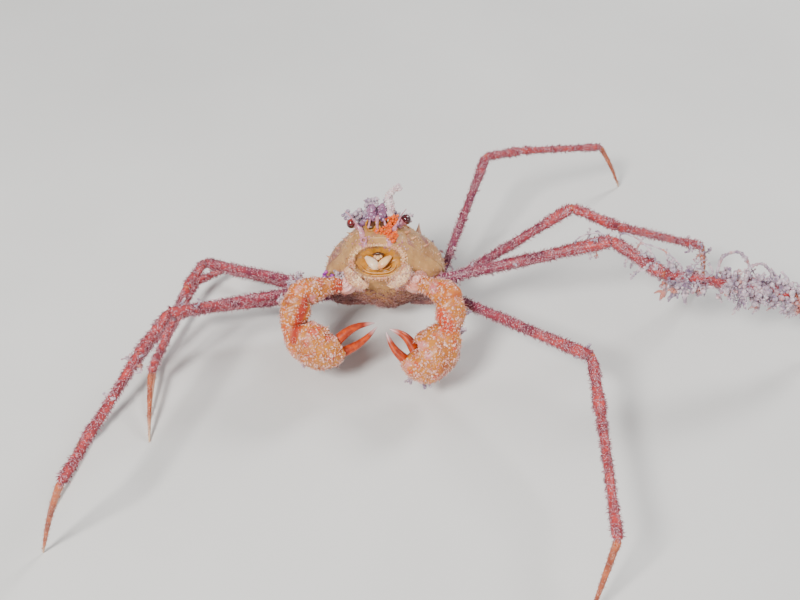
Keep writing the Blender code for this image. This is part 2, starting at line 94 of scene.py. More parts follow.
# %% [markdown]
# Colours are easiest to think of as red, green and blue out of 255.
# Blender's shaders want linear light, so one small function turns the first into the second.
# Another one adds a node with its settings and links in a single readable line.

# %% Colour and node helpers
def paint(red, green, blue):
    """Screen colours out of 255 as linear light."""
    values = np.array([red, green, blue]) / 255
    linear = np.where(values > 0.04045, ((values + 0.055) / 1.055) ** 2.4, values / 12.92)
    return (*linear.tolist(), 1.0)


def node(tree, kind, inputs=None, **settings):
    """A shader node; its inputs are values or the outputs of other nodes."""
    made = tree.nodes.new("ShaderNode" + kind)
    for key, value in settings.items():
        setattr(made, key, value)
    for key, value in (inputs or {}).items():
        if isinstance(value, bpy.types.NodeSocket):
            tree.links.new(value, made.inputs[key])
        else:
            made.inputs[key].default_value = value
    return made


def ramp(tree, factor, stops):
    """Colours laid along a factor: stops are (place, colour)."""
    made = node(tree, "ValToRGB", {"Fac": factor})
    band = made.color_ramp
    while len(band.elements) < len(stops):
        band.elements.new(0.5)
    for element, (place, colour) in zip(band.elements, stops):
        element.position = place
        element.color = colour
    return made.outputs["Color"]


def blend_colours(tree, factor, under, over, way="MIX"):
    """Two colours mixed by a factor."""
    made = node(tree, "Mix", {"Factor": factor}, data_type="RGBA", blend_type=way)
    for key, value in (("A", under), ("B", over)):
        socket = next(item for item in made.inputs if item.name == key and item.type == "RGBA")
        if isinstance(value, bpy.types.NodeSocket):
            tree.links.new(value, socket)
        else:
            socket.default_value = value
    return next(item for item in made.outputs if item.type == "RGBA")


print("buff in linear light:", paint(190, 145, 115))

# %% [markdown]
# A crab's skin is never one colour: it has broad stains, fine grain and pale flecks.
# One recipe gives all three: soft noise between two colours, then Voronoi dots for flecks.
# Every finish below starts from this recipe and differs only in its colours and scales.

# %% A recipe for crab skin
GRAIN_PER_METRE = 2600
WHITE = (1, 1, 1, 1)
BLACK = (0, 0, 0, 1)


def new_finish(name):
    """An empty finish: its material, node tree, shader and the place on the object."""
    finish = bpy.data.materials.new(name)
    finish.use_nodes = True
    tree = finish.node_tree
    return finish, tree, tree.nodes["Principled BSDF"], node(tree, "TexCoord").outputs["Object"]


def crab_skin(name, light, dark, fleck, stain_scale=260, fleck_scale=1500, fleck_size=0.22,
              bump=0.35, roughness=0.55, tint=None):
    """A mottled, flecked, finely grained finish; tint(tree, colour, place) may add to its colour."""
    finish, tree, shader, place = new_finish(name)
    stain = node(tree, "TexNoise", {"Vector": place, "Scale": stain_scale, "Detail": 6, "Roughness": 0.62})
    colour = ramp(tree, stain.outputs["Fac"], ((0.34, paint(*dark)), (0.62, paint(*light))))
    if tint:
        colour = tint(tree, colour, place)
    dots = node(tree, "TexVoronoi", {"Vector": place, "Scale": fleck_scale, "Randomness": 1.0})
    is_fleck = ramp(tree, dots.outputs["Distance"], ((0.6 * fleck_size, WHITE), (fleck_size, BLACK)))
    colour = blend_colours(tree, is_fleck, colour, paint(*fleck))
    tree.links.new(colour, shader.inputs["Base Color"])
    grain = node(tree, "TexNoise", {"Vector": place, "Scale": GRAIN_PER_METRE, "Detail": 3})
    height = node(tree, "Math", {0: grain.outputs["Fac"], 1: is_fleck}, operation="ADD")
    relief = node(tree, "Bump", {"Height": height.outputs[0], "Strength": bump, "Distance": 0.08 * MM})
    tree.links.new(relief.outputs["Normal"], shader.inputs["Normal"])
    gloss = node(tree, "MapRange", {"Value": stain.outputs["Fac"], "To Min": roughness + 0.1,
                                    "To Max": roughness - 0.1})
    tree.links.new(gloss.outputs["Result"], shader.inputs["Roughness"])
    shader.inputs["Subsurface Weight"].default_value = 0.12
    shader.inputs["Subsurface Scale"].default_value = 0.4 * MM
    shader.inputs["Coat Weight"].default_value = 0.15
    shader.inputs["Coat Roughness"].default_value = 0.3
    return finish


# %% [markdown]
# On a crab the colours aren't spread evenly: legs are purple by the body, partly their own colour and partly
# painted shade, and feet pale at the ground.
# So a finish may carry tints, small functions that lay a colour over what is there already.
# Each one only differs in the value that it fades with: distance, height, noise or a groove's depth; the
# grooves get painted shade.

# %% Tints
def faded(tree, value, limits, strengths, under, colour):
    """A colour laid over another, with a strength that follows a value between two limits."""
    fade = node(tree, "MapRange", {"Value": value, "From Min": limits[0], "From Max": limits[1],
                                   "To Min": strengths[0], "To Max": strengths[1]})
    return blend_colours(tree, fade.outputs["Result"], under, colour)


def near_tint(colour, points, reach, strength=0.9, core=0.3):
    """A tint round points, full within the core's share of the reach, in millimetres."""
    def tint(tree, under, place):
        for point in points:
            away = node(tree, "VectorMath", {0: place, 1: (point * MM).tolist()}, operation="DISTANCE")
            under = faded(tree, away.outputs["Value"], (core * reach * MM, reach * MM), (strength, 0.0),
                          under, colour)
        return under
    return tint


def near_floor_tint(colour, height):
    """A tint that is full at the floor and gone at the given height, in millimetres."""
    def tint(tree, under, place):
        level = node(tree, "SeparateXYZ", {0: place}).outputs["Z"]
        return faded(tree, level, (0.5 * MM, height * MM), (0.9, 0.0), under, colour)
    return tint


def blotch_tint(colour, scale, amount):
    """A tint in soft-edged blotches; the amount is the share of the noise they start at."""
    def tint(tree, under, place):
        cloud = node(tree, "TexNoise", {"Vector": place, "Scale": scale, "Detail": 3})
        return faded(tree, cloud.outputs["Fac"], (amount, amount + 0.1), (0.0, 0.85), under, colour)
    return tint


def hollow_tint(colour):
    """Painted shade in the grooves of a piece, read from the hollow value stored at its points."""
    def tint(tree, under, place):
        deep = node(tree, "Attribute", attribute_name="hollow")
        return blend_colours(tree, deep.outputs["Fac"], under, colour)
    return tint


def both(*tints):
    """Several tints, one after the other."""
    def tint(tree, under, place):
        for each in tints:
            under = each(tree, under, place)
        return under
    return tint


PURPLE = paint(88, 28, 74)
BUFF = (200, 152, 92)
BUFF_SHADE = (160, 110, 64)
# The shell's grooves are darkened with painted shade.
shell_finish = crab_skin("shell_buff", BUFF, BUFF_SHADE, (240, 218, 200), stain_scale=300, fleck_size=0.13,
                         tint=both(blotch_tint(paint(150, 84, 84), 190, 0.55),
                                   hollow_tint(paint(104, 58, 46))))
shell_grain_finish = crab_skin("shell_grain", (226, 184, 140), (196, 142, 112), (250, 232, 220),
                               stain_scale=500, fleck_size=0.1, bump=0.2)
spine_finish = crab_skin("spine_rose_tip", (212, 160, 116), (170, 104, 88), (245, 225, 215),
                         stain_scale=600, fleck_size=0.12, bump=0.3)
# The purple round the trunk is partly the legs' own colour and partly painted shade.
leg_finish = crab_skin("leg_pink", (196, 68, 66), (106, 28, 46), (246, 194, 198),
                       stain_scale=420, fleck_scale=2100, fleck_size=0.24, bump=0.6,
                       tint=near_tint(PURPLE, [BODY_AT], 40, 0.75, 0.35))
tip_finish = crab_skin("leg_tip_orange_buff", (200, 104, 56), (140, 56, 34), (240, 205, 190),
                       stain_scale=420, fleck_scale=2300, fleck_size=0.2, bump=0.5,
                       tint=near_floor_tint(paint(226, 196, 160), 3))
print("skins:", len(bpy.data.materials))

# %% [markdown]
# Most of a crab is tapering tubes: leg pieces, spines, feelers, bristles and worm tubes.
# A tube is rings of points round a path, joined by quads and closed by a point at each end.
# The ring's axes are carried along the path, so that a bent tube doesn't twist.

# %% Tubes and pieces
def unit(vectors):
    """Vectors brought to length one."""
    vectors = np.asarray(vectors, float)
    return vectors / np.maximum(np.linalg.norm(vectors, axis=-1, keepdims=True), 1e-9)


def full_turn(count, offset=0):
    """Angles evenly spaced round a circle; an offset of a half puts them between the whole steps."""
    return 2 * pi * (np.arange(count) + offset) / count


def path_axes(centres):
    """The heading of a path and two directions across it, at each of its points."""
    heading = unit(np.gradient(centres, axis=0))
    across = np.empty_like(heading)
    guide = np.array([0.0, 0.0, 1.0]) if abs(heading[0][2]) < 0.9 else np.array([1.0, 0.0, 0.0])
    guide = np.cross(heading[0], guide)
    for i, along in enumerate(heading):
        guide = unit(guide - along * guide.dot(along))
        across[i] = guide
    return heading, across, np.cross(heading, across)


def tube_grid(centres, radii, sides, flatness=1.0):
    """Rings of points round a path; radii is one value a ring or one value a point."""
    centres = np.asarray(centres, float)
    radii = np.asarray(radii, float)
    if radii.ndim == 1:
        radii = radii[:, None]
    _, across, over = path_axes(centres)
    turn = full_turn(sides)
    spread = (across[:, None] * np.cos(turn)[:, None] + over[:, None] * np.sin(turn)[:, None] * flatness)
    return centres[:, None] + spread * radii[..., None]


def close_grid(grid, open_start=False):
    """Points and faces of a skin over rings, closed by a point at each end unless the start is open."""
    rows, columns = grid.shape[:2]
    points = np.vstack([grid.reshape(-1, 3), grid[0].mean(0), grid[-1].mean(0)])
    first, last = rows * columns, rows * columns + 1
    faces = []
    for j in range(columns):
        k = (j + 1) % columns
        if not open_start:
            faces.append((first, k, j))
        for i in range(rows - 1):
            a = i * columns
            faces.append((a + j, a + k, a + columns + k, a + columns + j))
        end = (rows - 1) * columns
        faces.append((last, end + j, end + k))
    return points, faces


def tube(centres, radii, sides, flatness=1.0):
    """A closed tube round a path."""
    return close_grid(tube_grid(centres, radii, sides, flatness))


def ring(centre, across, over, thickness, count=40, sides=10):
    """A closed ring through two half axes; its thickness may follow a function of the turn."""
    turns = np.linspace(0, 2 * pi, count)
    path = centre + np.outer(np.cos(turns), across) + np.outer(np.sin(turns), over)
    return tube(path, thickness(turns) if callable(thickness) else thickness + 0 * turns, sides)


def merge(shapes):
    """Several shapes, each points and faces, as one."""
    all_points, all_faces, shift = [], [], 0
    for points, faces in shapes:
        all_points.append(np.asarray(points))
        all_faces.extend(tuple(index + shift for index in face) for face in faces)
        shift += len(points)
    return np.vstack(all_points), all_faces


def add_piece(name, shape, finish, slot, *replaced):
    """A piece from points in millimetres and faces, which rides with the crab."""
    points, faces = shape
    mesh = bpy.data.meshes.new(name)
    mesh.from_pydata((np.asarray(points) * MM).tolist(), [], faces)
    mesh.materials.append(finish)
    mesh.shade_smooth()
    mesh.set_sharp_from_angle(angle=radians(62))
    piece = bpy.data.objects.new(name, mesh)
    bpy.context.scene.collection.objects.link(piece)
    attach(piece, "root")
    if replaced:
        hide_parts(*replaced)
    return piece


def smooth(x, knots, values):
    """Values read off a smooth curve through knots."""
    knots = np.asarray(knots, float)
    values = np.asarray(values, float)
    slopes = np.gradient(values, knots)
    i = np.clip(np.searchsorted(knots, x) - 1, 0, len(knots) - 2)
    step = knots[i + 1] - knots[i]
    t = np.clip((x - knots[i]) / step, 0, 1)
    rise = 3 * t**2 - 2 * t**3
    return ((1 - rise) * values[i] + rise * values[i + 1]
            + step * ((t**3 - 2 * t**2 + t) * slopes[i] + (t**3 - t**2) * slopes[i + 1]))


def curved(points, count):
    """A smooth path of that many points through a few chosen ones."""
    points = np.asarray(points, float)
    knots = np.linspace(0, 1, len(points))
    places = np.linspace(0, 1, count)
    return np.stack([smooth(places, knots, points[:, axis]) for axis in range(3)], axis=-1)


print("a test tube has", len(tube(curved([(0, 0, 0), (1, 0, 1), (3, 0, 1)], 8), np.ones(8), 6)[0]),
      "points")

# %% [markdown]
# Roughness you can feel needs real shapes: grains on the claws, tubercles, bristles.
# To set them on a surface, places are drawn on its grid, more where the cells are larger.
# Each place also keeps its share along and round the piece, an unwrap that coats need later.

# %% Scatter places over a surface
def scatter(grid, count, draw, keep=None):
    """Random places on a grid: points, normals, lie of the piece and (along, round) shares."""
    rows, columns = grid.shape[:2]
    wrapped = np.concatenate([grid, grid[:, :1]], axis=1)
    along = wrapped[1:, :-1] - wrapped[:-1, :-1]
    round_it = wrapped[:-1, 1:] - wrapped[:-1, :-1]
    area = np.linalg.norm(np.cross(round_it, along), axis=-1)
    if keep is not None:
        area = area * keep[:-1]
    cells = draw.choice(area.size, size=count, p=(area / area.sum()).ravel())
    i, j = np.unravel_index(cells, area.shape)
    s, t = draw.random(count)[:, None], draw.random(count)[:, None]
    points = ((wrapped[i, j] * (1 - s) + wrapped[i + 1, j] * s) * (1 - t)
              + (wrapped[i, j + 1] * (1 - s) + wrapped[i + 1, j + 1] * s) * t)
    normals = unit(np.cross(round_it[i, j], along[i, j]))
    shares = np.column_stack([(i + s[:, 0]) / (rows - 1), (j + t[:, 0]) / columns])
    return points, normals, unit(along[i, j]), shares


def ball_template(detail):
    """A small ball's points and triangles."""
    ball = bmesh.new()
    bmesh.ops.create_icosphere(ball, subdivisions=detail, radius=1.0)
    points = np.array([vert.co[:] for vert in ball.verts])
    faces = np.array([[vert.index for vert in face.verts] for face in ball.faces])
    ball.free()
    return points, faces


def beads(places, normals, sizes, height=0.8, detail=1):
    """Rounded grains sitting half sunk at the places."""
    ball, triangles = ball_template(detail)
    normals, sizes = np.broadcast_to(normals, places.shape), np.broadcast_to(sizes, len(places))
    across = unit(np.cross(normals, [0.31, 0.52, 0.79]))
    over = np.cross(normals, across)
    points = (places[:, None] + (across[:, None] * ball[None, :, :1] + over[:, None] * ball[None, :, 1:2]
                                 + normals[:, None] * ball[None, :, 2:] * height) * sizes[:, None, None])
    shift = np.arange(len(places))[:, None, None] * len(ball)
    return points.reshape(-1, 3), [tuple(face) for face in (triangles[None] + shift).reshape(-1, 3).tolist()]


def lump(place, facing, size, height=0.9, detail=3):
    """One rounded lump at a place."""
    return beads(place[None], facing, size, height, detail)


print("a bead has", len(ball_template(1)[1]), "faces")

# %% [markdown]
# The shell is pear-shaped, widest behind the middle, with a narrow snout.
# Its stations are the solid's own, read off smoothly, and closed with a rounded front.
# Low swellings stand over the organs, with grooves between them, so the back isn't an egg.

# %% The shell's form
# Stations of the trunk: forward, half width, top and underside.
STATIONS = np.array([
    (-12.9, 2.2, -0.6, -3.1), (-12.2, 4.4, 1.6, -3.9), (-10.6, 6.9, 3.9, -5.1), (-8.2, 9.2, 5.6, -6.4),
    (-5.2, 11.2, 6.5, -7.6), (-2.2, 11.9, 6.7, -8.5), (0.8, 10.9, 6.2, -8.8), (3.4, 8.8, 5.2, -8.3),
    (5.4, 7.2, 4.2, -7.3), (7.0, 5.8, 3.4, -6.1), (8.2, 4.4, 2.8, -4.4), (9.0, 3.2, 2.4, -3.4),
    (9.6, 2.0, 1.7, -2.6),
])
RIM_LEVEL = -2.5
SEAM = 0.15
# Swellings of the back: forward, side, reach and rise.
SWELLINGS = [(2.6, 0, 2.3, 0.9), (-4.8, 0, 2.1, 1.1), (-9.6, 0, 1.6, 0.7), (-3.4, 6.2, 2.9, 0.95),
             (-8.2, 5.0, 2.0, 0.6), (3.6, 5.0, 1.6, 0.5), (6.9, 1.3, 1.2, 0.35)]


def station(forward, column):
    """Half width, top or underside of the trunk at a forward place."""
    return smooth(forward, STATIONS[:, 0], STATIONS[:, column])


def hill(distance, reach):
    """One at the middle, falling smoothly to nothing."""
    return np.exp(-(distance / reach) ** 2)


def back_relief(forward, side):
    """Swellings and grooves of the shell, in millimetres outwards."""
    height = np.zeros(np.broadcast(forward, side).shape)
    for place, out, reach, rise in SWELLINGS:
        for sign in ((1,) if out == 0 else (-1, 1)):
            height = height + rise * hill(np.hypot(forward - place, side - sign * out), reach)
    neck_groove = forward + 0.6 - 0.28 * np.abs(side)
    flank_groove = np.abs(side) - 3.3 - 0.12 * np.abs(forward + 5)
    height = height - 0.5 * hill(neck_groove, 0.9) * np.clip((9 - np.abs(side)) / 4, 0, 1)
    return height - 0.45 * hill(flank_groove, 0.8) * np.clip((-0.5 - forward) / 3, 0, 1)


SHELL_ROWS = 150
SHELL_COLUMNS = 120


def shell_grid():
    """Rings of the upper shell, from the tail to the snout, closed by a flat floor."""
    forward = np.linspace(STATIONS[0, 0], STATIONS[-1, 0], SHELL_ROWS)[:, None]
    turn = full_turn(SHELL_COLUMNS, 0.5)[None]
    width = station(forward, 1)
    level = RIM_LEVEL - SEAM
    upper = turn < pi
    rise = np.where(upper, (station(forward, 2) - level) * np.abs(np.sin(turn)) ** 0.85, 0.0)
    side = width * np.cos(turn)
    edge = np.clip(np.sin(turn) * 3, 0, 1)
    relief = back_relief(forward, side) * edge
    hollow = np.clip((0.45 - relief) / 1.2, 0, 1) * edge * np.clip((7 - forward) / 3, 0, 1) * 0.85
    return on_body(forward + 0 * turn, side, level + rise + relief), hollow


shell_skin, shell_hollow = shell_grid()
print("shell points:", shell_skin.shape[0] * shell_skin.shape[1])

# %% [markdown]
# Spines warn fish off. Each rises from a broad, pebbly base and ends in a point.
# A spine is a short tube whose radius follows a concave profile, sunk into the shell.
# The edge spines lean forward; the tall ones stand in a triangle on the back.

# %% Spines
# Spines: forward, side, length and radius.
BACK_SPINES = [(4.8, 1.1, 1.1, 0.5), (4.4, 3.2, 1.1, 0.5), (1.6, 0.0, 2.6, 0.95), (-3.2, 6.2, 2.9, 1.05),
               (-4.6, 0.0, 2.9, 1.1), (-9.2, 0.0, 1.9, 0.9), (-8.0, 4.9, 1.0, 0.6), (0.4, 4.6, 0.9, 0.5)]
EDGE_SPINES = [(5.8, 6.3, 1.6, 0.5), (3.2, 8.4, 1.5, 0.5), (0.2, 10.7, 1.3, 0.5), (-3.4, 11.8, 1.2, 0.5),
               (6.9, 5.6, 0.7, 0.3), (4.5, 7.6, 0.7, 0.3), (1.7, 9.9, 0.6, 0.28), (-1.6, 11.9, 0.6, 0.28),
               (-5.4, 11.4, 0.7, 0.3), (-7.6, 9.9, 0.6, 0.28)]


def spine(root, tip, radius, sides=14, rings=14):
    """A pointed spine with a flared foot, from a sunk root."""
    share = np.linspace(-0.25, 1, rings)
    path = root + (tip - root) * share[:, None]
    taper = radius * (0.95 * np.clip(1 - share, 0, 1) ** 1.25 + 0.06 + 0.5 * hill(share + 0.1, 0.16))
    return tube(path, taper, sides)


def back_level(forward, side):
    """Height of the shell's surface over the trunk's level."""
    level = RIM_LEVEL + SEAM
    inside = np.sqrt(np.clip(1 - (side / station(forward, 1)) ** 2, 0, 1))
    return level + (station(forward, 2) - level) * inside**0.85 + back_relief(forward, side)


shell_spines = []
for forward, out, length, radius in BACK_SPINES:
    for side in ((-1, 1) if out else (1,)):
        level = float(back_level(forward, out))
        root = on_body(forward, out * side, level - 0.15)
        tip = on_body(forward + length * 0.3, out * side * 1.04, level + length)
        shell_spines.append(spine(root, tip, radius))
for forward, out, length, radius in EDGE_SPINES:
    for side in (-1, 1):
        root = on_body(forward, (out - 0.4) * side, -0.8)
        tip = on_body(forward + length * 0.6, (out - 0.4 + length) * side, -0.5)
        shell_spines.append(spine(root, tip, radius))
for side in (-1, 1):
    shell_spines.append(spine(on_body(6.6, 4.9 * side, 0.2), on_body(8.1, 6.3 * side, -0.2), 0.55))
    shell_spines.append(spine(on_body(6.9, 3.7 * side, 2.0), on_body(7.9, 4.6 * side, 2.7), 0.5))
print("spines:", len(shell_spines))

# %% [markdown]
# Between the spines the shell carries small round grains, thicker on the swellings.
# They could be bumps in the shader, but grains catch the light along the outline too.
# So a few thousand half-sunk beads are scattered on the upper surface.

# %% Assemble the shell
def upper_half(rows, columns):
    """Which grid points lie on the arch, not on the flat floor."""
    return np.broadcast_to((np.arange(columns) < columns // 2)[None], (rows, columns)).astype(float)


draw = np.random.default_rng(11)
shell = add_piece("shell", close_grid(shell_skin), shell_finish, "shell", "carapace")
hollow_values = np.zeros(len(shell.data.vertices))
hollow_values[:shell_hollow.size] = shell_hollow.ravel()
shell.data.attributes.new("hollow", "FLOAT", "POINT").data.foreach_set("value", hollow_values)
shell_forward = np.linspace(STATIONS[0, 0], STATIONS[-1, 0], SHELL_ROWS)
behind_brow = np.clip((1.0 - shell_forward) / 5, 0.12, 1)[:, None]
grainy = upper_half(SHELL_ROWS, SHELL_COLUMNS) * (1.15 - shell_hollow) * behind_brow
grain_at, grain_out, _, _ = scatter(shell_skin, 3600, draw, grainy)
grain_sizes = 0.06 + 0.2 * draw.random(len(grain_at)) ** 2.5
add_piece("shell_grains", beads(grain_at, grain_out, grain_sizes, 0.8), shell_grain_finish, "shell")
add_piece("shell_spines", merge(shell_spines), spine_finish, "shell")
print("grains on the shell:", len(grain_at))

# %% [markdown]
# Below the rim the crab is softer in colour: smooth buff cheeks in front, a browner breast behind.
# The lower half is a second skin with the same stations, and shallow grooves part its plates.
# The mouth is pressed into it: points inside an oval are moved down to a bowl.

# %% The chest and the mouth's bowl
MOUTH_AT = (6.2, 0.0, -6.0)
MOUTH_SLOPE = radians(49)
MOUTH_HALF_WIDTH = 4.9
MOUTH_HALF_HEIGHT = 3.2
BOWL_DEPTH = 1.8
MOUTH_UP = FORWARD * cos(MOUTH_SLOPE) + UPWARD * sin(MOUTH_SLOPE)
MOUTH_OUT = FORWARD * sin(MOUTH_SLOPE) - UPWARD * cos(MOUTH_SLOPE)
PLATE_GROOVES = (0.2, -2.9, -5.9, -8.6)


def on_mouth(sideways, along, out):
    """A place in the mouth's plane: sideways, towards the snout and out of it."""
    parts = ((sideways, SIDEWAYS), (along, MOUTH_UP), (out, MOUTH_OUT))
    return on_body(*MOUTH_AT) + sum(np.multiply.outer(value, axis) for value, axis in parts)


def press_mouth(points, movable):
    """Move the skin's points inside the mouth's oval down to a bowl."""
    from_mouth = points - on_body(*MOUTH_AT)
    sideways, along, out = from_mouth @ SIDEWAYS, from_mouth @ MOUTH_UP, from_mouth @ MOUTH_OUT
    radius = np.hypot(sideways / (MOUTH_HALF_WIDTH - 0.3), along / (MOUTH_HALF_HEIGHT - 0.2))
    pull = np.clip((1.5 - radius) / 0.4, 0, 1) * movable
    bowl = -BOWL_DEPTH * np.sqrt(np.clip(1 - radius**2, 0, 1))
    return points + ((bowl - out) * pull)[..., None] * MOUTH_OUT


CHEST_ROWS = 150
CHEST_COLUMNS = 200


def chest_grid():
    """Rings of the lower half: the arch below the seam, closed by a flat roof."""
    forward = np.linspace(STATIONS[0, 0], STATIONS[-1, 0], CHEST_ROWS)[:, None]
    turn = full_turn(CHEST_COLUMNS, 0.5)[None]
    share = 0.78 + 0.22 * np.clip((forward + 5) / 4, 0, 1)
    level = RIM_LEVEL - SEAM
    lower = turn > pi
    drop = np.where(lower, (station(forward, 3) - level) * np.abs(np.sin(turn)) ** 0.85, 0.1)
    side = station(forward, 1) * share * np.cos(turn) * np.where(lower, 1.0, 0.985)
    for place in PLATE_GROOVES:
        inner, outer = np.clip(np.abs(side) - 1.2, 0, 1), np.clip((8.5 - np.abs(side)) / 2, 0, 1)
        drop = drop + lower * 0.35 * hill(forward - place, 0.3) * inner * outer
    drop = drop + lower * 0.3 * hill(side, 0.35) * (forward < 1)
    grid = on_body(forward + 0 * turn, side, level + drop)
    return press_mouth(grid, np.broadcast_to(lower, drop.shape).astype(float))


def trunk_tint(axis, colour, start, end, strength=0.9):
    """A tint along one of the trunk's axes: none at the start, full at the end, in millimetres."""
    def tint(tree, under, place):
        centre = (BODY_AT * MM).tolist()
        from_trunk = node(tree, "VectorMath", {0: place, 1: centre}, operation="SUBTRACT").outputs["Vector"]
        along = node(tree, "VectorMath", {0: from_trunk, 1: axis.tolist()}, operation="DOT_PRODUCT")
        return faded(tree, along.outputs["Value"], (start * MM, end * MM), (0.0, strength), under, colour)
    return tint


CHEST_BROWN = paint(152, 86, 46)
chest_finish = crab_skin("chest_tan", BUFF, BUFF_SHADE, (240, 218, 200), stain_scale=300, fleck_size=0.13,
                         bump=0.25,
                         tint=both(trunk_tint(FORWARD, CHEST_BROWN, 0.5, -5.0),
                                   trunk_tint(FORWARD, PURPLE, -7.0, -12.0, 0.45)))
chest_skin = chest_grid()
add_piece("chest", close_grid(chest_skin), chest_finish, "chest", "thorax")
print("chest points:", chest_skin.shape[0] * chest_skin.shape[1])

# %% [markdown]
# Ten limbs leave the chest: two claws in front and four pairs of legs, each with its own pose.
# Angles over the floor are easier to read off a photograph than joint angles, so a leg is given by
# the compass angle and the slope of each piece, and a claw by the places of its joints.

# %% Where the limbs are rooted
# Hips: forward, side and up on the trunk. By leg pair: the four pieces' lengths, and the thickness.
HIPS = {2: (-1.3, 8.4, -6.0), 3: (-4.6, 8.9, -5.1), 4: (-7.3, 9.0, -4.6), 5: (-9.9, 9.0, -4.3)}
CLAW_HIP = (1.0, 6.0, -6.9)
COXA_REACH = 2.4
LENGTHS = {2: (36.8, 11.4, 27.0, 21.2), 3: (36.0, 10.3, 24.3, 17.6),
           4: (33.5, 9.6, 23.3, 16.4), 5: (32.5, 9.0, 23.2, 15.6)}
THICKNESS = {2: 1.2, 3: 1.05, 4: 0.98, 5: 0.9}
RIGHT_SHARE = 0.87
# Each leg: side, pair, size against its pair, (azimuth, elevation) of three pieces, azimuth of the last.
LEGS = [
    (-1, 2, 0.96, (-153, 14), (-108, 4), (-110, -7), -165),
    (-1, 3, 0.78, (-176, 20), (-104, 8), (-134, -52), -86),
    (-1, 4, 0.96, (-169, 3), (-125, -3), (-120, -16), -102),
    (-1, 5, 0.88, (158, -3), (-130, 16), (-107, -8), -88),
    (1, 2, 1.00, (1, 17), (-40, -8), (2, -14), 5),
    (1, 3, 1.06, (-41, 12), (-85, -22), (-93, 6), -120),
    (1, 4, 1.00, (6, 38), (-10, -21), (17, -28), 41),
    (1, 5, 1.00, (66, 30), (28, -11), (28, -18), 20),
]
# Claw joints in millimetres from the trunk's centre over the floor.
CLAWS = {
    -1: {"merus_end": (-15.9, -13.4, 19.0), "wrist": (-17.2, -17.6, 14.6), "finger_root": (-8.0, -19.2, 10.6),
         "tip": (-1.4, -16.1, 13.0), "spread": (-0.45, 0.62, 0.64), "height": 4.3, "depth": 4.4},
    1: {"merus_end": (12.8, -14.4, 19.4), "wrist": (12.6, -18.4, 15.2), "finger_root": (5.0, -21.6, 10.9),
        "tip": (0.9, -18.6, 14.2), "spread": (0.45, 0.62, 0.64), "height": 4.9, "depth": 4.6},
}
for claw in CLAWS.values():
    for key in ("merus_end", "wrist", "finger_root", "tip"):
        claw[key] = np.array(claw[key]) + (BODY_AT[0], BODY_AT[1], 0)
    claw["spread"] = unit(claw["spread"])


def mirrored(place, side):
    """A place given for the left side of the trunk, or its mirror image on the right."""
    forward, out, up = place
    return on_body(forward, out * side, up)


def mirrored_path(places, side, count):
    """A smooth path through places given for the left side, or its mirror image."""
    return curved([mirrored(place, side) for place in places], count)


def direction(azimuth, elevation):
    """A direction by its angle over the floor and its slope, in degrees."""
    a, e = radians(azimuth), radians(elevation)
    return np.array([cos(a) * cos(e), sin(a) * cos(e), sin(e)])


def leg_radius(side, pair):
    """Thickness of a leg; the right legs turn their narrow side to the photograph."""
    return THICKNESS[pair] * (RIGHT_SHARE if side < 0 else 1)


print("limbs to root:", len(LEGS) + len(CLAWS))

# %% [markdown]
# The first joint of a limb is a short tube with a raised lip, and at the claws also a round knob
# with pale rings, as shells show where they grew. The knob is a ball, and each ring lies on it at
# the height that the ball has there, so that no ring floats.

# %% First joints
CLAW_ROOT_RADIUS = 1.95
KNOB_RADIUS = 2.0
KNOB_HEIGHT = 0.95
KNOB_RINGS = ((1.75, 0.3), (1.15, 0.26), (0.5, 0.34))


def coxa(hip, side, axis, radius):
    """The ring-like first joint that carries a limb, and its lip."""
    inner = mirrored(hip, side * 0.5)
    centre = mirrored(hip, side)
    end = centre + axis * (COXA_REACH - SEAM)
    path = curved([inner, centre, end], 24)
    share = np.linspace(0, 1, 24)
    swell = radius * (1.08 + 0.16 * hill(share - 0.86, 0.09) - 0.14 * hill(share - 0.72, 0.06))
    return tube_grid(path, swell, 28)


leg_roots = [coxa(HIPS[pair], side, direction(*merus), leg_radius(side, pair) * 1.02)
             for side, pair, _, merus, *_ in LEGS]
leg_root_finish = crab_skin("leg_root_mauve", (150, 96, 84), (96, 54, 60), (214, 170, 170),
                            stain_scale=450, fleck_scale=2100, fleck_size=0.22, bump=0.6)
add_piece("leg_roots", merge([close_grid(grid) for grid in leg_roots]), leg_root_finish, "chest")
claw_roots = []
for side, claw in CLAWS.items():
    axis = unit(claw["merus_end"] - mirrored(CLAW_HIP, side))
    claw_roots.append(coxa(CLAW_HIP, side, axis, CLAW_ROOT_RADIUS))
root_finish = crab_skin("claw_root_pink", (226, 160, 140), (196, 104, 66), (248, 222, 222),
                        stain_scale=500, fleck_size=0.25, bump=0.5)
add_piece("claw_roots", merge([close_grid(grid) for grid in claw_roots]), root_finish, "chest")
hip_rings = []
for side in CLAWS:
    knob_at = on_body(1.7, 6.5 * side, -8.0)
    axis = unit(FORWARD + 0.35 * side * SIDEWAYS - 0.25 * UPWARD)
    across = unit(np.cross(axis, UPWARD))
    over = np.cross(axis, across)
    hip_rings.append(lump(knob_at, axis, KNOB_RADIUS, KNOB_HEIGHT, 4))
    for reach, thick in KNOB_RINGS:
        centre = knob_at + axis * np.sqrt(KNOB_RADIUS**2 - reach**2) * KNOB_HEIGHT
        hip_rings.append(ring(centre, across * reach, over * reach, thick, 60))
hip_finish = crab_skin("hip_rose_white", (246, 196, 188), (222, 128, 96), (255, 236, 236),
                       stain_scale=420, fleck_size=0.2, bump=0.3, roughness=0.35)
add_piece("hip_rings", merge(hip_rings), hip_finish, "chest")
print("limb roots:", len(leg_roots) + len(claw_roots))

# %% [markdown]
# Under the tail the narrow flap of the abdomen is folded forward, in a few short segments.
# A flattened tube follows the breast's middle line, and each segment swells a little.
# Separate plates would be truer, but seen edge-on the swellings alone give the segments.

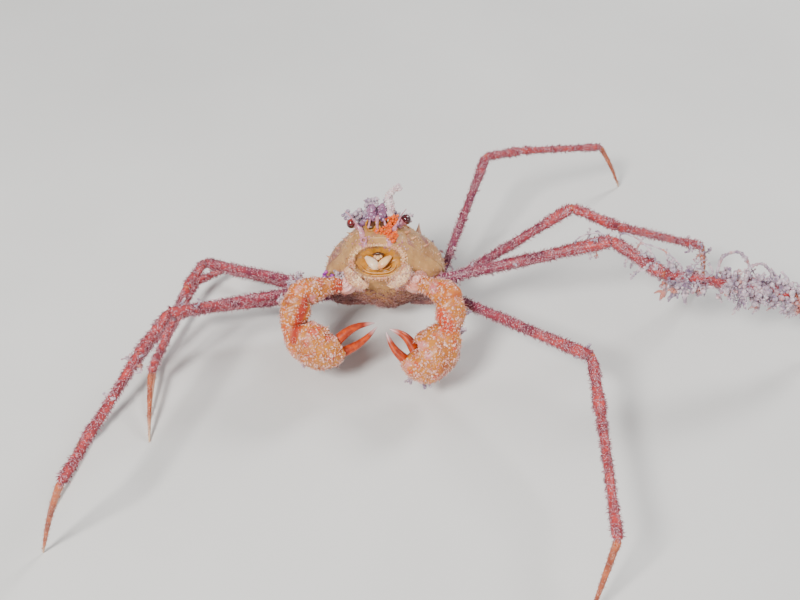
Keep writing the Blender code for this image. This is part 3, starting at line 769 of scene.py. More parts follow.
# %% The folded tail flap
# The flap's middle line and half width: forward, width.
PLEON_PATH = ((-12.0, 1.6), (-10.4, 2.2), (-8.2, 2.4), (-5.6, 2.0), (-3.8, 1.3), (-2.8, 0.3))
PLEON_THICKNESS = 0.4
PLEON_SEGMENTS = 5

share = np.linspace(0, 1, 60)
flap_forward, flap_width = (smooth(share, np.linspace(0, 1, 6), column) for column in zip(*PLEON_PATH))
swell = np.abs(np.sin(pi * PLEON_SEGMENTS * share)) ** 0.5
flap_width = flap_width * (0.9 + 0.1 * swell)
flap_level = station(flap_forward, 3) - 0.1 + 0.4 * share**4
turn = full_turn(28)[None]
flap_bulge = PLEON_THICKNESS * (0.75 + 0.25 * swell)
flap_bulge = flap_bulge * np.sqrt(np.clip((1 - share) * 4, 0.02, 1))
flap = on_body(flap_forward[:, None] + 0 * turn, flap_width[:, None] * np.cos(turn),
               flap_level[:, None] + flap_bulge[:, None] * np.sin(turn))
add_piece("tail_flap", close_grid(flap), chest_finish, "chest", "pleon")
print("tail flap segments:", PLEON_SEGMENTS)

# %% [markdown]
# The mouth is the crab's most intricate place, and its base is an ochre bowl in a beaded frame.
# Seen this large, paint on a flat skin wouldn't do, so bowl and frame are shapes of their own.
# The bowl is a dished sheet with low folds, the frame a closed tube with four rows of beads.

# %% The mouth's bowl and frame
lining_finish = crab_skin("mouth_ochre", (208, 142, 44), (154, 98, 26), (240, 190, 112),
                          stain_scale=500, fleck_size=0.1, bump=0.2, roughness=0.35)
lip_finish = crab_skin("lip_cream_pink", (232, 190, 140), (206, 138, 110), (250, 228, 210),
                       stain_scale=420, fleck_size=0.2, bump=0.3, roughness=0.4)


def oval(scale, turns, out):
    """Points of the mouth's outline at a scale: an oval with squared shoulders and a lower lip."""
    shoulder = 1 + 0.06 * np.sin(2 * turns) ** 2
    dip = 1 - 0.07 * np.sin(turns) * np.cos(turns) ** 2
    return on_mouth(MOUTH_HALF_WIDTH * scale * shoulder * np.cos(turns),
                    MOUTH_HALF_HEIGHT * scale * shoulder * dip * np.sin(turns), out)


# Beads of the frame: how far out, how many and their size.
RIM_BEADS = ((1.0, 50, 0.21), (1.07, 56, 0.2), (1.14, 44, 0.17), (0.94, 44, 0.12))

reach = np.linspace(0.97, 0.03, 26)[:, None]
turn = full_turn(64)[None]
fold = 0.13 * np.sin(5 * turn + 4 * reach) * np.sin(pi * reach) + 0.06 * np.sin(11 * turn - 9 * reach)
bowl = oval(reach, turn + 0 * reach, 0.16 + fold - BOWL_DEPTH * 0.93 * np.sqrt(1 - reach**2))
add_piece("mouth_lining", close_grid(bowl[:, ::-1], open_start=True), lining_finish, "chest")

rim_turns = np.linspace(0, 2 * pi, 90)
rim = tube(oval(1.0, rim_turns, -0.1), 0.26 + 0.05 * np.sin(23 * rim_turns), 14)
rim_beads = []
for scale, count, size in RIM_BEADS:
    turns = np.linspace(0, 2 * pi, count, endpoint=False) + draw.uniform(-0.05, 0.05, count)
    places = oval(scale + draw.uniform(-0.02, 0.02, count), turns, 0.22 - 2.4 * abs(scale - 1.0))
    grown = draw.uniform(0.4, 1.35, count) * size * (1 + 0.35 * np.abs(np.cos(turns)))
    rim_beads.append(beads(places, MOUTH_OUT, grown, 1.0, 2))
add_piece("mouth_frame", merge([rim, *rim_beads]), lip_finish, "chest")
print("beads round the mouth:", sum(count for _, count, _ in RIM_BEADS))

# %% [markdown]
# Inside the frame two blunt jaws meet in the middle, under a slit in painted shade, with soft folds below.
# The right jaw is ivory. The left one lies deeper, so it is smaller, and its peach is the ivory in painted
# shade.
# All of them are tubes with a radius that swells and ends softly, since nothing in a mouth is flat.

# %% Jaws and lips
# Folds in the bowl: share of its size, from and to in degrees, thickness and how far out.
FOLDS = ((0.72, 195, 345, 0.3, -0.75), (0.52, 205, 335, 0.26, -0.95), (0.86, 200, 340, 0.24, -0.45))

ivory_finish = crab_skin("jaw_ivory", (255, 244, 230), (248, 206, 160), (255, 250, 240),
                         stain_scale=420, fleck_size=0.05, bump=0.1, roughness=0.25)
# The peach jaw is the ivory one in painted shade.
shaded_jaw_finish = crab_skin("jaw_peach_painted_shade", (250, 206, 150), (226, 150, 92), (255, 236, 210),
                         stain_scale=420, fleck_size=0.08, bump=0.15, roughness=0.3)
# Dark brown painted shade, for the mouth's slit and the hollows of the face.
painted_shade_finish = crab_skin("mouth_slit_painted_shade", (92, 52, 24), (52, 26, 14), (110, 66, 34),
                        fleck_size=0.05, roughness=0.35)
for side, size, finish in ((-1, 1.0, ivory_finish), (1, 0.86, shaded_jaw_finish)):
    path = curved([on_mouth(2.4 * side, 0.85, -0.9), on_mouth(1.5 * side, 0.2, -0.3),
                   on_mouth(0.6 * side, -0.7 * size, 0.05), on_mouth(-0.1, -1.5 * size, -0.35)], 20)
    widths = smooth(np.linspace(0, 1, 20), (0, 0.3, 0.7, 1), (0.4, 0.84, 0.9, 0.25)) * size
    add_piece(finish.name, tube(path, widths, 20, 0.75), finish, "chest")

slit_path = curved([on_mouth(-1.15, 1.35, -0.55), on_mouth(0, 1.5, -0.5), on_mouth(1.15, 1.35, -0.55)], 16)
slit_radius = 0.34 * np.sin(np.linspace(0.25, pi - 0.25, 16))
add_piece("mouth_slit_painted_shade", tube(slit_path, slit_radius, 14), painted_shade_finish, "chest")
lips = []
for scale, start, end, thick, out in FOLDS:
    turns = np.radians(np.linspace(start, end, 30))
    taper = thick * np.sin(np.linspace(0.2, pi - 0.2, 30))
    lips.append(tube(oval(scale, turns, out), taper, 12))
add_piece("mouth_folds", merge(lips), lining_finish, "chest")
lip_at = on_mouth(np.array([0, -0.55, 0.55]), np.array([0.75, 0.95, 0.95]), np.array([-0.2, -0.3, -0.3]))
add_piece("upper_lip", beads(lip_at, MOUTH_OUT, np.array([0.5, 0.35, 0.35]), 0.8, 2), lip_finish, "chest")
print("folds in the mouth:", len(lips))

# %% [markdown]
# The outer mouthparts are folded open beside the mouth, pale and edged with hair.
# Each is a flat blade of three segments, so a flattened ring is swept along a bent path.
# Its plane is the mouth's own, which keeps both blades against the frame however the trunk leans.

# %% Outer mouthparts
# The blade in the mouth's plane: sideways, along, out and half width.
BLADE_PATH = ((2.2, -4.8, 1.0, 0.6), (3.7, -4.0, 1.15, 1.1), (5.1, -2.6, 1.1, 1.1), (6.1, -0.9, 1.15, 0.45))
blade_finish = crab_skin("mouthpart_cream", (250, 216, 168), (214, 150, 96), (255, 240, 222),
                         stain_scale=600, fleck_size=0.25, bump=0.6)
blade_grids = {}
for side, label in SIDE_NAMES.items():
    knots = np.linspace(0, 1, len(BLADE_PATH))
    share = np.linspace(0, 1, 40)
    sideways, along, out, width = (smooth(share, knots, column) for column in zip(*BLADE_PATH))
    width = width * (0.9 + 0.12 * np.abs(np.sin(3 * pi * share)))
    across = unit(0.79 * side * SIDEWAYS - 0.61 * MOUTH_UP)
    turn = (-side * full_turn(24))[None, :, None]
    centre = on_mouth(sideways * side, along, out)
    spread = across * np.cos(turn) * width[:, None, None] + MOUTH_OUT * np.sin(turn) * 0.38
    blade_grids[side] = centre[:, None] + spread
    blade = close_grid(blade_grids[side])
    add_piece(label + "_mouthpart", blade, blade_finish, "chest", label + "_maxilliped")
print("mouthparts:", len(blade_grids))

# %% [markdown]
# The snout has two short horns that stand close together, stained purple and lumpy.
# Below them two hollows, ochre-rimmed and filled with painted shade, hold the small folded feelers, parted by
# a pale ridge.
# The horns are spines with beads on them; hollows, ridge and feelers are small lofts.

# %% Snout and face
snout_finish = crab_skin("snout_purple", (168, 118, 150), (92, 54, 88), (232, 208, 230),
                         stain_scale=700, fleck_size=0.35, bump=0.8)
feeler_finish = crab_skin("feeler_pink", (208, 146, 160), (168, 96, 108), (244, 222, 232),
                          stain_scale=600, fleck_size=0.25, bump=0.4)
# Knobs along the brow: forward, side, up and size.
BROW_KNOBS = ((9.5, 0.7, 2.3, 0.9), (9.3, 1.9, 1.9, 0.8), (9.0, 2.9, 1.3, 0.7), (8.8, 3.6, 0.7, 0.6))
HORN_GRAINS = 130
snout = []
for side in (-1, 1):
    root, tip = on_body(8.4, 1.2 * side, 1.7), on_body(12.6, 0.95 * side, 2.8)
    share = np.linspace(-0.1, 1, 40)
    horn_radius = smooth(share, (-0.1, 0.3, 0.7, 0.92, 1), (1.35, 1.15, 0.8, 0.5, 0.12))
    horn = tube_grid(root + (tip - root) * share[:, None], horn_radius, 24)
    snout.append(close_grid(horn))
    at, out, _, _ = scatter(horn, HORN_GRAINS, draw)
    snout.append(beads(at, out, draw.uniform(0.12, 0.34, HORN_GRAINS), 0.9))
    for forward, out, up, size in BROW_KNOBS:
        snout.append(lump(on_body(forward, out * side, up), unit(FORWARD + 0.3 * UPWARD), size, 0.8))
add_piece("snout", merge(snout), snout_finish, "shell")

# Places on the trunk: the folded small feeler of the left side, and the ridge between the two.
FOLDED_FEELER = ((9.7, 1.75, -0.5), (10.3, 1.5, 0.1), (10.4, 1.35, 0.9), (9.9, 1.1, 1.4))
RIDGE = ((9.6, 0, 2.5), (10.2, 0, 1.3), (10.2, 0, 0.2), (9.6, 0, -1.4))
face, hollows, hollow_rims = [], [], []
for side in (-1, 1):
    hollows.append(lump(on_body(9.5, 1.25 * side, 0.4), unit(FORWARD + 0.2 * UPWARD), 1.15, 0.5))
    hollow_rims.append(ring(on_body(9.7, 1.25 * side, 0.35), 0.95 * SIDEWAYS, 1.5 * UPWARD,
                            lambda turns: 0.24 + 0.05 * np.sin(9 * turns)))
    face.append(tube(mirrored_path(FOLDED_FEELER, side, 18), np.linspace(0.26, 0.12, 18), 10))
ridge_width = smooth(np.linspace(0, 1, 20), (0, 0.3, 0.7, 1), (1.1, 0.55, 0.28, 0.3))
face.append(tube(mirrored_path(RIDGE, 1, 20), ridge_width, 14))
add_piece("face_ridges", merge(face), feeler_finish, "shell")
add_piece("hollow_rims", merge(hollow_rims), lining_finish, "shell")
# The hollows are dark lumps in painted shade.
add_piece("face_hollows_painted_shade", merge(hollows), painted_shade_finish, "shell")
print("face shapes:", len(face))

# %% [markdown]
# The second feelers start as stout pink stalks beside the mouth and end as short whips.
# A small round opening sits at the foot of each stalk, ringed like a volcano.
# Stalk and whip are one tube with a radius that drops at half its length.

# %% Feelers
# The left stalk and whip on the trunk: forward, side and up.
FEELER_PATH = ((8.0, 2.3, -3.8), (8.8, 2.7, -2.4), (9.3, 3.1, -1.0), (9.8, 3.5, -0.4), (10.7, 4.1, 0.0),
               (12.0, 4.9, 0.6), (13.2, 5.9, 1.1))
FOOT_GRAINS = 90


def nearest(skin, places):
    """Each place moved to the nearest point of a skin."""
    skin = skin.reshape(-1, 3)
    return np.array([skin[np.argmin(((skin - place) ** 2).sum(axis=1))] for place in places])


for side, label in SIDE_NAMES.items():
    share = np.linspace(0, 1, 70)
    radius = smooth(share, (0, 0.2, 0.42, 0.5, 0.75, 1), (0.5, 0.55, 0.5, 0.3, 0.16, 0.06))
    rings_of_whip = 0.1 * np.sin(60 * share) * (share > 0.5)
    rings_of_stalk = 0.12 * np.sin(31 * share) * (share < 0.5)
    path = mirrored_path(FEELER_PATH, side, 70)
    shapes = [tube(path, radius * (1 + rings_of_whip + rings_of_stalk), 16)]
    opening = nearest(chest_skin, [on_body(9.0, 2.5 * side, -2.9)]) + MOUTH_OUT * 0.15
    shapes.append(ring(opening, SIDEWAYS * 0.5, MOUTH_UP * 0.5, 0.24))
    foot = on_body(8.6, 2.9 * side, -2.6) + draw.normal(0, 1, (FOOT_GRAINS, 3)) * (SIDEWAYS + 1.3 * MOUTH_UP)
    foot_out = unit(MOUTH_OUT + 0.3 * draw.normal(0, 1, (FOOT_GRAINS, 3)))
    shapes.append(beads(nearest(chest_skin, foot), foot_out, draw.uniform(0.08, 0.26, FOOT_GRAINS), 0.9))
    add_piece(label + "_feeler", merge(shapes), feeler_finish, "leg", label + "_antenna")
print("feelers: 2")

# %% [markdown]
# The eyes are short stalks with a dark red, wet dome at the end that never closes.
# The dome needs its own glossy finish: nearly black red, with orange patches painted in as a glint.
# A clear coat on top gives the sharp highlight that makes an eye look alive.

# %% Eyes
eye_finish, tree, shader, place = new_finish("eye_dark_red")
facets = node(tree, "TexVoronoi", {"Vector": place, "Scale": 9000})
# Orange patches in the dark red are a painted glint.
painted_glint = node(tree, "TexNoise", {"Vector": place, "Scale": 900, "Detail": 2})
eye_colour = ramp(tree, painted_glint.outputs["Fac"], ((0.38, paint(44, 6, 14)), (0.56, paint(96, 16, 24)),
                                              (0.72, paint(168, 48, 30))))
tree.links.new(eye_colour, shader.inputs["Base Color"])
relief = node(tree, "Bump", {"Height": facets.outputs["Distance"], "Strength": 0.15, "Distance": 0.02 * MM})
tree.links.new(relief.outputs["Normal"], shader.inputs["Normal"])
shader.inputs["Roughness"].default_value = 0.18
shader.inputs["Coat Weight"].default_value = 1.0
shader.inputs["Coat Roughness"].default_value = 0.04

EYE_RADIUS = 1.04
for side, label in SIDE_NAMES.items():
    start, end = on_body(7.9, 3.8 * side, 1.0), on_body(9.1, 5.8 * side, 1.95 + 0.35 * side)
    share = np.linspace(0, 1, 26)
    stalk = tube(start + (end - start) * share[:, None] * 0.72,
                 smooth(share, (0, 0.5, 0.85, 1), (0.62, 0.55, 0.9, 0.8)), 20)
    add_piece(label + "_eye_stalk", stalk, feeler_finish, "eye")
    dome_at = start + (end - start) * 0.76
    dome = lump(dome_at, unit(end - start), EYE_RADIUS, 0.92, 4)
    add_piece(label + "_eye_dome", dome, eye_finish, "eye", label + "_eye")
print("eyes: 2")

# %% [markdown]
# Ten limbs repeat one idea: a hard tapering tube, cut where it bends, with a soft joint between.
# One function makes a tube between two joints and keeps it between the two cutting planes.
# The skin is a little slimmer than the solid, because the bristles fill the rest.

# %% Limb pieces
SKIN_SHARE = 0.93
ROUND_END = 0.35
PIECES = ("merus", "carpus", "propodus", "dactylus")
# Radius along each leg piece, as (share of length, share of the leg's thickness).
PROFILES = {
    "merus": ((0, 0.80), (0.04, 0.86), (0.10, 0.84), (0.45, 0.95), (0.80, 0.96), (0.93, 1.12), (1, 0.98)),
    "carpus": ((0, 0.80), (0.12, 0.92), (0.30, 0.96), (0.55, 0.90), (0.80, 1.10), (1, 0.95)),
    "propodus": ((0, 0.78), (0.05, 0.92), (0.10, 0.84), (0.4, 0.80), (0.75, 0.75), (0.94, 0.88), (1, 0.74)),
    "dactylus": ((0, 0.58), (0.05, 0.68), (0.12, 0.62), (0.35, 0.55), (0.65, 0.42), (0.88, 0.28), (1, 0.14)),
}


def keep_between(points, axis, face, cut, slack):
    """Slide the points that lie beyond a cutting plane back along the axis."""
    beyond = np.maximum((points - face) @ cut + slack, 0)
    return points - axis * (beyond / axis.dot(cut))[..., None]


def limb_grid(start, end, before, after, profile, sides=26, sag=0.0):
    """Rings of a limb piece between two joints; profile is (share of length, radius)."""
    length = np.linalg.norm(end - start)
    axis = (end - start) / length
    rows = int(24 + 3 * length)
    share = np.linspace(0, 1, rows)
    radius = smooth(share, *zip(*profile))
    from_end = np.minimum(share, 1 - share) * length / ROUND_END
    radius = radius * (0.5 + 0.5 * np.sqrt(1 - (1 - np.clip(from_end, 0, 1)) ** 2))
    across = np.cross(axis, (0, 0, 1))
    across = unit(across) if np.linalg.norm(across) > 0.05 else np.array([1.0, 0.0, 0.0])
    over = np.cross(across, axis)
    turn = full_turn(sides)[None]
    wobble = 1 + 0.035 * np.sin(3 * turn + 9 * share[:, None]) + 0.03 * np.sin(5 * turn - 23 * share[:, None])
    centre = start + (axis * length) * share[:, None]
    centre = centre + np.array([0, 0, 1]) * (sag * length * 4 * share * (1 - share))[:, None]
    circle = across * np.cos(turn)[..., None] + over * np.sin(-turn)[..., None]
    grid = centre[:, None] + circle * (radius[:, None] * wobble)[..., None]
    start_cut = axis if before is None else unit(axis + before)
    grid = keep_between(grid, axis, start + start_cut * SEAM, -start_cut, 0.01 * np.arange(rows)[:, None])
    if after is None:
        return keep_between(grid, axis, np.zeros(3), np.array([0, 0, -1.0]), 0)
    end_cut = unit(axis + after)
    return keep_between(grid, axis, end - end_cut * SEAM, end_cut, 0.01 * np.arange(rows)[::-1][:, None])


def leg_joints(side, pair, size, merus, carpus, propodus, last_azimuth):
    """Hip, three joints and the foot, which stands on the floor."""
    joints = [mirrored(HIPS[pair], side)]
    lengths = [length * size for length in LENGTHS[pair]]
    for length, angles in zip(lengths, (merus, carpus, propodus)):
        joints.append(joints[-1] + direction(*angles) * length)
    slope = -asin(min(joints[-1][2] / lengths[3], 1.0)) * 180 / pi
    joints.append(joints[-1] + direction(last_azimuth, slope) * lengths[3])
    joints[0] = joints[0] + unit(joints[1] - joints[0]) * COXA_REACH
    return joints


test_grid = limb_grid(np.zeros(3), np.array([30.0, 0, 10]), None, unit([1.0, 0, -1]), PROFILES["merus"])
print("rings in a long piece:", len(test_grid))

# %% [markdown]
# The four pieces of a leg are merus, carpus, propodus and the pointed dactylus.
# Colour runs along the leg: purple by the body, partly its own colour and partly painted shade, dusty pink,
# then orange buff with a pale point.
# Orange-brown membrane shows in each bend, so a soft ball sits inside every joint.
# The right legs turn their narrow side to the photograph and are built a little slimmer.

# %% Legs
membrane_finish = crab_skin("joint_membrane", (196, 96, 66), (140, 56, 50), (224, 160, 140),
                            stain_scale=900, fleck_size=0.1, bump=0.3, roughness=0.4)
leg_grids = {}
for leg in LEGS:
    side, pair = leg[:2]
    label = SIDE_NAMES[side] + "_leg_" + str(pair)
    joints = leg_joints(*leg)
    axes = [unit(b - a) for a, b in zip(joints, joints[1:])]
    softness = []
    for i, piece in enumerate(PIECES):
        before = axes[i - 1] if i else None
        after = axes[i + 1] if i < 3 else None
        profile = [(share, radius * leg_radius(side, pair) * SKIN_SHARE) for share, radius in PROFILES[piece]]
        grid = limb_grid(joints[i], joints[i + 1], before, after, profile, sag=0.05 if i == 3 else 0.0)
        leg_grids[label, piece] = grid
        last = piece == "dactylus"
        add_piece(label + "_" + piece + "_skin", close_grid(grid), tip_finish if last else leg_finish,
                  "leg_tip" if last else "leg", label + "_" + piece)
        softness.append(lump(joints[i], unit(axes[i] + axes[max(i - 1, 0)]), 0.86 * profile[0][1]))
    add_piece(label + "_membranes", merge(softness), membrane_finish, "leg")
print("leg pieces:", len(leg_grids))

# %% [markdown]
# The claws are the heaviest limbs: a short arm, a knobbly wrist and a swollen palm.
# The palm's middle line bends towards the fingers, so its rings follow a curve.
# Both fingers are slim, orange red, pale at the tip, and toothed where they meet.
# Red gathers at the bends, in a groove down the right wrist and in a patch on the left one. The groove's
# deeper red is partly its own colour and partly painted shade. The red is laid on as tints round points, as a
# brush would, and the grains are kept off the groove later.

# %% Claws
ARM_PROFILE = ((0, 1.3), (0.1, 1.6), (0.25, 1.6), (0.55, 2.15), (0.85, 2.5), (1, 2.1))
WRIST_PROFILE = ((0, 2.0), (0.3, 2.6), (0.65, 2.8), (1, 2.2))
PALM_BEND = 5.0
PALM_PROFILE = ((0, 0.50), (0.12, 0.80), (0.32, 0.99), (0.58, 1.0), (0.80, 0.82), (0.93, 0.62), (1, 0.50))
FIXED_OFFSET = -1.15
MOVABLE_OFFSET = 1.35
KNUCKLE_RADIUS = 2.08
KNUCKLE_GRAINS = 130


def palm_line(claw, share):
    """Centre and heading along the palm, which bends towards the fingers."""
    wrist, root = claw["wrist"], claw["finger_root"]
    bend = root - unit(claw["tip"] - root) * PALM_BEND
    centre = wrist * (1 - share) ** 2 + bend * (2 * share * (1 - share)) + root * share**2
    return centre, unit((bend - wrist) * (1 - share) + (root - bend) * share)


def palm_grid(claw, rows=70, sides=60):
    """Rings of the palm, deep and high as the profile says, with low knobs."""
    rings = []
    turn = full_turn(sides)
    for share in np.linspace(0, 1, rows):
        centre, heading = palm_line(claw, share)
        across = unit(np.cross(heading, claw["spread"]))
        over = np.cross(across, heading)
        size = smooth(share, *zip(*PALM_PROFILE)) * SKIN_SHARE
        knobs = 1 + 0.03 * np.sin(4 * turn + 11 * share) + 0.03 * np.sin(7 * turn - 17 * share)
        rings.append(centre + across * (np.cos(turn) * claw["depth"] * size * knobs)[:, None]
                     - over * (np.sin(turn) * claw["height"] * size * knobs)[:, None])
    return np.array(rings), over, heading


def finger_grid(claw, over, heading, offset, start_gap, rows=50, sides=22):
    """One curved finger, from its root to its point."""
    root = claw["finger_root"] + over * offset + heading * start_gap
    tip = claw["tip"] + over * (offset * 0.35)
    share = np.linspace(0, 1, rows)
    centre = root + (tip - root) * share[:, None] + over * (offset * 0.55 * np.sin(pi * share))[:, None]
    radius = smooth(share, (0, 0.25, 0.55, 0.82, 1), (1.1, 0.95, 0.7, 0.42, 0.1))
    grid = tube_grid(centre, radius, sides, 0.85)
    axis = unit(tip - root)
    return keep_between(grid, axis, root, -heading, 0.01 * np.arange(rows)[:, None]), centre, radius


ORANGE_RED = paint(206, 60, 26)
wrists = [claw["wrist"] for claw in CLAWS.values()]
elbows = [claw["merus_end"] for claw in CLAWS.values()]
# A deep red groove down the right wrist, its red partly painted shade, and a patch on the left one, measured
# from the trunk's centre.
GROOVE_RED_AND_SHADE = paint(170, 40, 14)
RED_GROOVE = ((-14.0, -15.4, 19.8), (-14.9, -17.0, 18.3), (-15.9, -19.1, 16.3), (-16.8, -21.3, 14.3))
RED_PATCH = ((10.0, -18.3, 18.5), (11.3, -18.8, 18.0), (12.0, -20.0, 16.8))
groove_line = curved(np.array(RED_GROOVE), 12) + (BODY_AT[0], BODY_AT[1], 0)
patch_line = np.array(RED_PATCH) + (BODY_AT[0], BODY_AT[1], 0)
claw_arm_root = on_body(3.4, -7.6, -9.6)
claw_finish = crab_skin("claw_yellow_buff", (214, 138, 28), (160, 76, 36), (240, 196, 180),
                        stain_scale=330, fleck_scale=1500, fleck_size=0.16, bump=0.8, roughness=0.45,
                        tint=both(near_tint(ORANGE_RED, wrists + elbows, 3.2, 0.5),
                                  blotch_tint(ORANGE_RED, 420, 0.56),
                                  blotch_tint(paint(214, 128, 140), 330, 0.57),
                                  near_tint(ORANGE_RED, patch_line, 2.2),
                                  near_tint(ORANGE_RED, [claw_arm_root], 2.6),
                                  near_tint(GROOVE_RED_AND_SHADE, groove_line, 1.3)))
finger_finish = crab_skin("finger_orange", (200, 74, 16), (132, 36, 20), (230, 130, 70),
                          stain_scale=900, fleck_size=0.08, bump=0.15, roughness=0.3,
                          tint=near_tint(paint(206, 176, 178), [claw["tip"] for claw in CLAWS.values()], 2.4))
bead_finish = crab_skin("grain_pink_white", (244, 196, 180), (196, 106, 84), (255, 240, 236),
                        stain_scale=900, fleck_size=0.1, bump=0.2, roughness=0.22)
claw_grids = {}
for side, claw in CLAWS.items():
    label = SIDE_NAMES[side] + "_claw_"
    hip = mirrored(CLAW_HIP, side)
    first = unit(claw["merus_end"] - hip)
    second = unit(claw["wrist"] - claw["merus_end"])
    third = palm_line(claw, 0.0)[1]
    grids = {"merus": limb_grid(hip + first * COXA_REACH, claw["merus_end"], None, second, ARM_PROFILE, 40),
             "carpus": limb_grid(claw["merus_end"], claw["wrist"], first, third, WRIST_PROFILE, 40)}
    palm, over, heading = palm_grid(claw)
    cut = unit(second + third)
    grids["palm"] = keep_between(palm, third, claw["wrist"] + cut * SEAM, -cut, 0.01 * np.arange(70)[:, None])
    for piece, grid in grids.items():
        claw_grids[label + piece] = grid
        add_piece(label + piece + "_skin", close_grid(grid), claw_finish, "claw", label + piece)
    for kind, offset, gap in (("fixed_finger", FIXED_OFFSET, -0.8), ("finger", MOVABLE_OFFSET, 0.15)):
        grid, centre, radius = finger_grid(claw, over, heading, offset, gap)
        inner = over * (-1 if offset > 0 else 1)
        teeth_at = (centre + inner * (radius * 0.8)[:, None])[14:44:2]
        teeth = beads(teeth_at, inner, np.linspace(0.2, 0.09, len(teeth_at)), 1.0)
        replaced = (label + "finger",) if kind == "finger" else ()
        finger = merge([close_grid(grid), teeth])
        add_piece(label + kind + "_skin", finger, finger_finish, "finger", *replaced)
    joints = [claw["merus_end"], claw["wrist"]]
    soft = beads(np.array(joints), np.array([unit(first + second), cut]), np.array([2.15, 2.1]), 0.9, 3)
    out = unit(draw.normal(0, 1, (2 * KNUCKLE_GRAINS, 3)))
    at = np.repeat(joints, KNUCKLE_GRAINS, axis=0) + out * KNUCKLE_RADIUS
    knobs = beads(at, out, draw.uniform(0.08, 0.24, len(at)), 0.9)
    hinge = lump(claw["finger_root"] + over * MOVABLE_OFFSET * 0.8, heading, 0.9, 0.7)
    add_piece(label + "knuckles", soft, claw_finish, "claw")
    add_piece(label + "knuckle_grains", knobs, bead_finish, "claw")
    add_piece(label + "membrane", hinge, membrane_finish, "claw")
print("claw pieces:", len(claw_grids))

# %% [markdown]
# The arms and palms are paved with pinkish-white grains of uneven size, crowded on the palm.
# Real grains show as tiny highlights, so these are half-sunk beads and not bumps in the finish.
# Their number follows each piece's surface, so that the cover is even whatever its size.

# %% Grains on the claws
GRAINS_PER_SQUARE_MM = {"merus": 4.5, "carpus": 4.5, "palm": 5.0}


def grid_area(grid):
    """The surface of a grid in square millimetres."""
    along = np.diff(grid, axis=0)
    round_it = np.roll(grid, -1, axis=1) - grid
    return np.linalg.norm(np.cross(round_it[:-1], along), axis=-1).sum()


for name, grid in claw_grids.items():
    piece = name.split("_")[-1]
    count = int(grid_area(grid) * GRAINS_PER_SQUARE_MM[piece])
    at, out, _, _ = scatter(grid, count, draw)
    from_groove = np.linalg.norm(at[:, None] - groove_line, axis=-1).min(axis=1)
    at, out = at[from_groove > 0.9], out[from_groove > 0.9]
    sizes = 0.07 + 0.24 * draw.random(len(at)) ** 2.2
    add_piece(name + "_grains", beads(at, out, sizes, 0.9), bead_finish, "claw")
print("claw surface:", round(sum(grid_area(grid) for grid in claw_grids.values())), "square mm")

# %% [markdown]
# Every limb is furred with short hooked bristles, and they give the soft pinkish outline.
# Particle hair can't be exported, so each bristle is a thin three-sided blade of real mesh.
# All blades of a limb are computed at once with arrays, a few from each root, and joined.

# %% Bristles
BLADE_RINGS = 4
TUFT_PATCH = 0.003
BLADES_PER_TUFT = 2


def bristle_shapes(roots, normals, leans, lengths, widths, curl):
    """Points and triangles of many blades that bend from their normal towards their lean."""
    t = np.linspace(0, 1, BLADE_RINGS + 1)
    upward = np.sin(curl * pi * t) / (curl * pi)
    sideward = (1 - np.cos(curl * pi * t)) / (curl * pi)
    path = roots[:, None] - normals[:, None] * 0.08 + lengths[:, None, None] * (
        normals[:, None] * upward[:, None] + leans[:, None] * sideward[:, None])
    flank = unit(np.cross(normals, leans))
    corner = full_turn(3)
    circle = flank[:, None] * np.cos(corner)[:, None] + leans[:, None] * np.sin(corner)[:, None]
    taper = (widths[:, None] * (1 - t[:-1]) ** 0.55)[:, :, None, None]
    body = path[:, :-1, None] + circle[:, None] * taper
    points = np.concatenate([body.reshape(len(roots), -1, 3), path[:, -1:]], axis=1)
    faces = []
    for k in range(3):
        n = (k + 1) % 3
        for r in range(BLADE_RINGS - 1):
            a = 3 * r
            faces += [(a + k, a + n, a + 3 + n), (a + k, a + 3 + n, a + 3 + k)]
        faces.append((3 * BLADE_RINGS - 3 + k, 3 * BLADE_RINGS - 3 + n, 3 * BLADE_RINGS))
    shift = np.arange(len(roots))[:, None, None] * points.shape[1]
    return points, (np.array(faces)[None] + shift).reshape(-1, 3)


def add_coat(name, skins, per_square_mm, length, finish, slot, width=0.06, curl=0.7, keeps=None):
    """Bristles on one or more skins as one piece, each tuft unwrapped at its root's place."""
    all_points, all_faces, all_unwraps, shift = [], [], [], 0
    for order, grid in enumerate(skins):
        keep = keeps[order] if keeps else None
        tufts = int(grid_area(grid) * per_square_mm)
        spots = scatter(grid, tufts, draw, keep)
        at, out, lie, shares = (np.repeat(values, BLADES_PER_TUFT, axis=0) for values in spots)
        turn = draw.normal(0, 1.1, len(at))[:, None]
        leans = unit(lie * np.cos(turn) + np.cross(out, lie) * np.sin(turn))
        lengths = length * (0.4 + 1.0 * draw.random(len(at)) ** 2)
        widths = width * draw.uniform(0.7, 1.3, len(at))
        out = unit(out + 0.35 * leans * draw.random((len(at), 1)))
        points, faces = bristle_shapes(at, out, leans, lengths, widths, curl)
        blade = np.linspace(0, 1, points.shape[1])
        patch = np.stack([np.cos(7 * blade), blade], axis=-1) * TUFT_PATCH / 2
        strip = (order + 0.02 + 0.96 * shares[:, 0]) / len(skins)
        place = np.column_stack([strip, 0.01 + 0.98 * shares[:, 1]])
        all_unwraps.append((place[:, None] + patch[None]).reshape(-1, 2))
        all_points.append(points.reshape(-1, 3))
        all_faces.append(faces + shift)
        shift += len(all_points[-1])
    faces = np.vstack(all_faces)
    coat = add_piece(name, (np.vstack(all_points), faces.tolist()), finish, slot)
    unwrap = coat.data.uv_layers.new(name="OFBake")
    unwrap.data.foreach_set("uv", np.vstack(all_unwraps)[faces.ravel()].ravel())
    per_blade = 3 * BLADE_RINGS + 1
    ring_levels = np.repeat(np.linspace(0, 1, BLADE_RINGS + 1)[:-1], 3)
    tipness = np.tile(np.append(ring_levels, 1.0), shift // per_blade)
    coat.data.attributes.new("tipness", "FLOAT", "POINT").data.foreach_set("value", tipness)
    return len(faces)


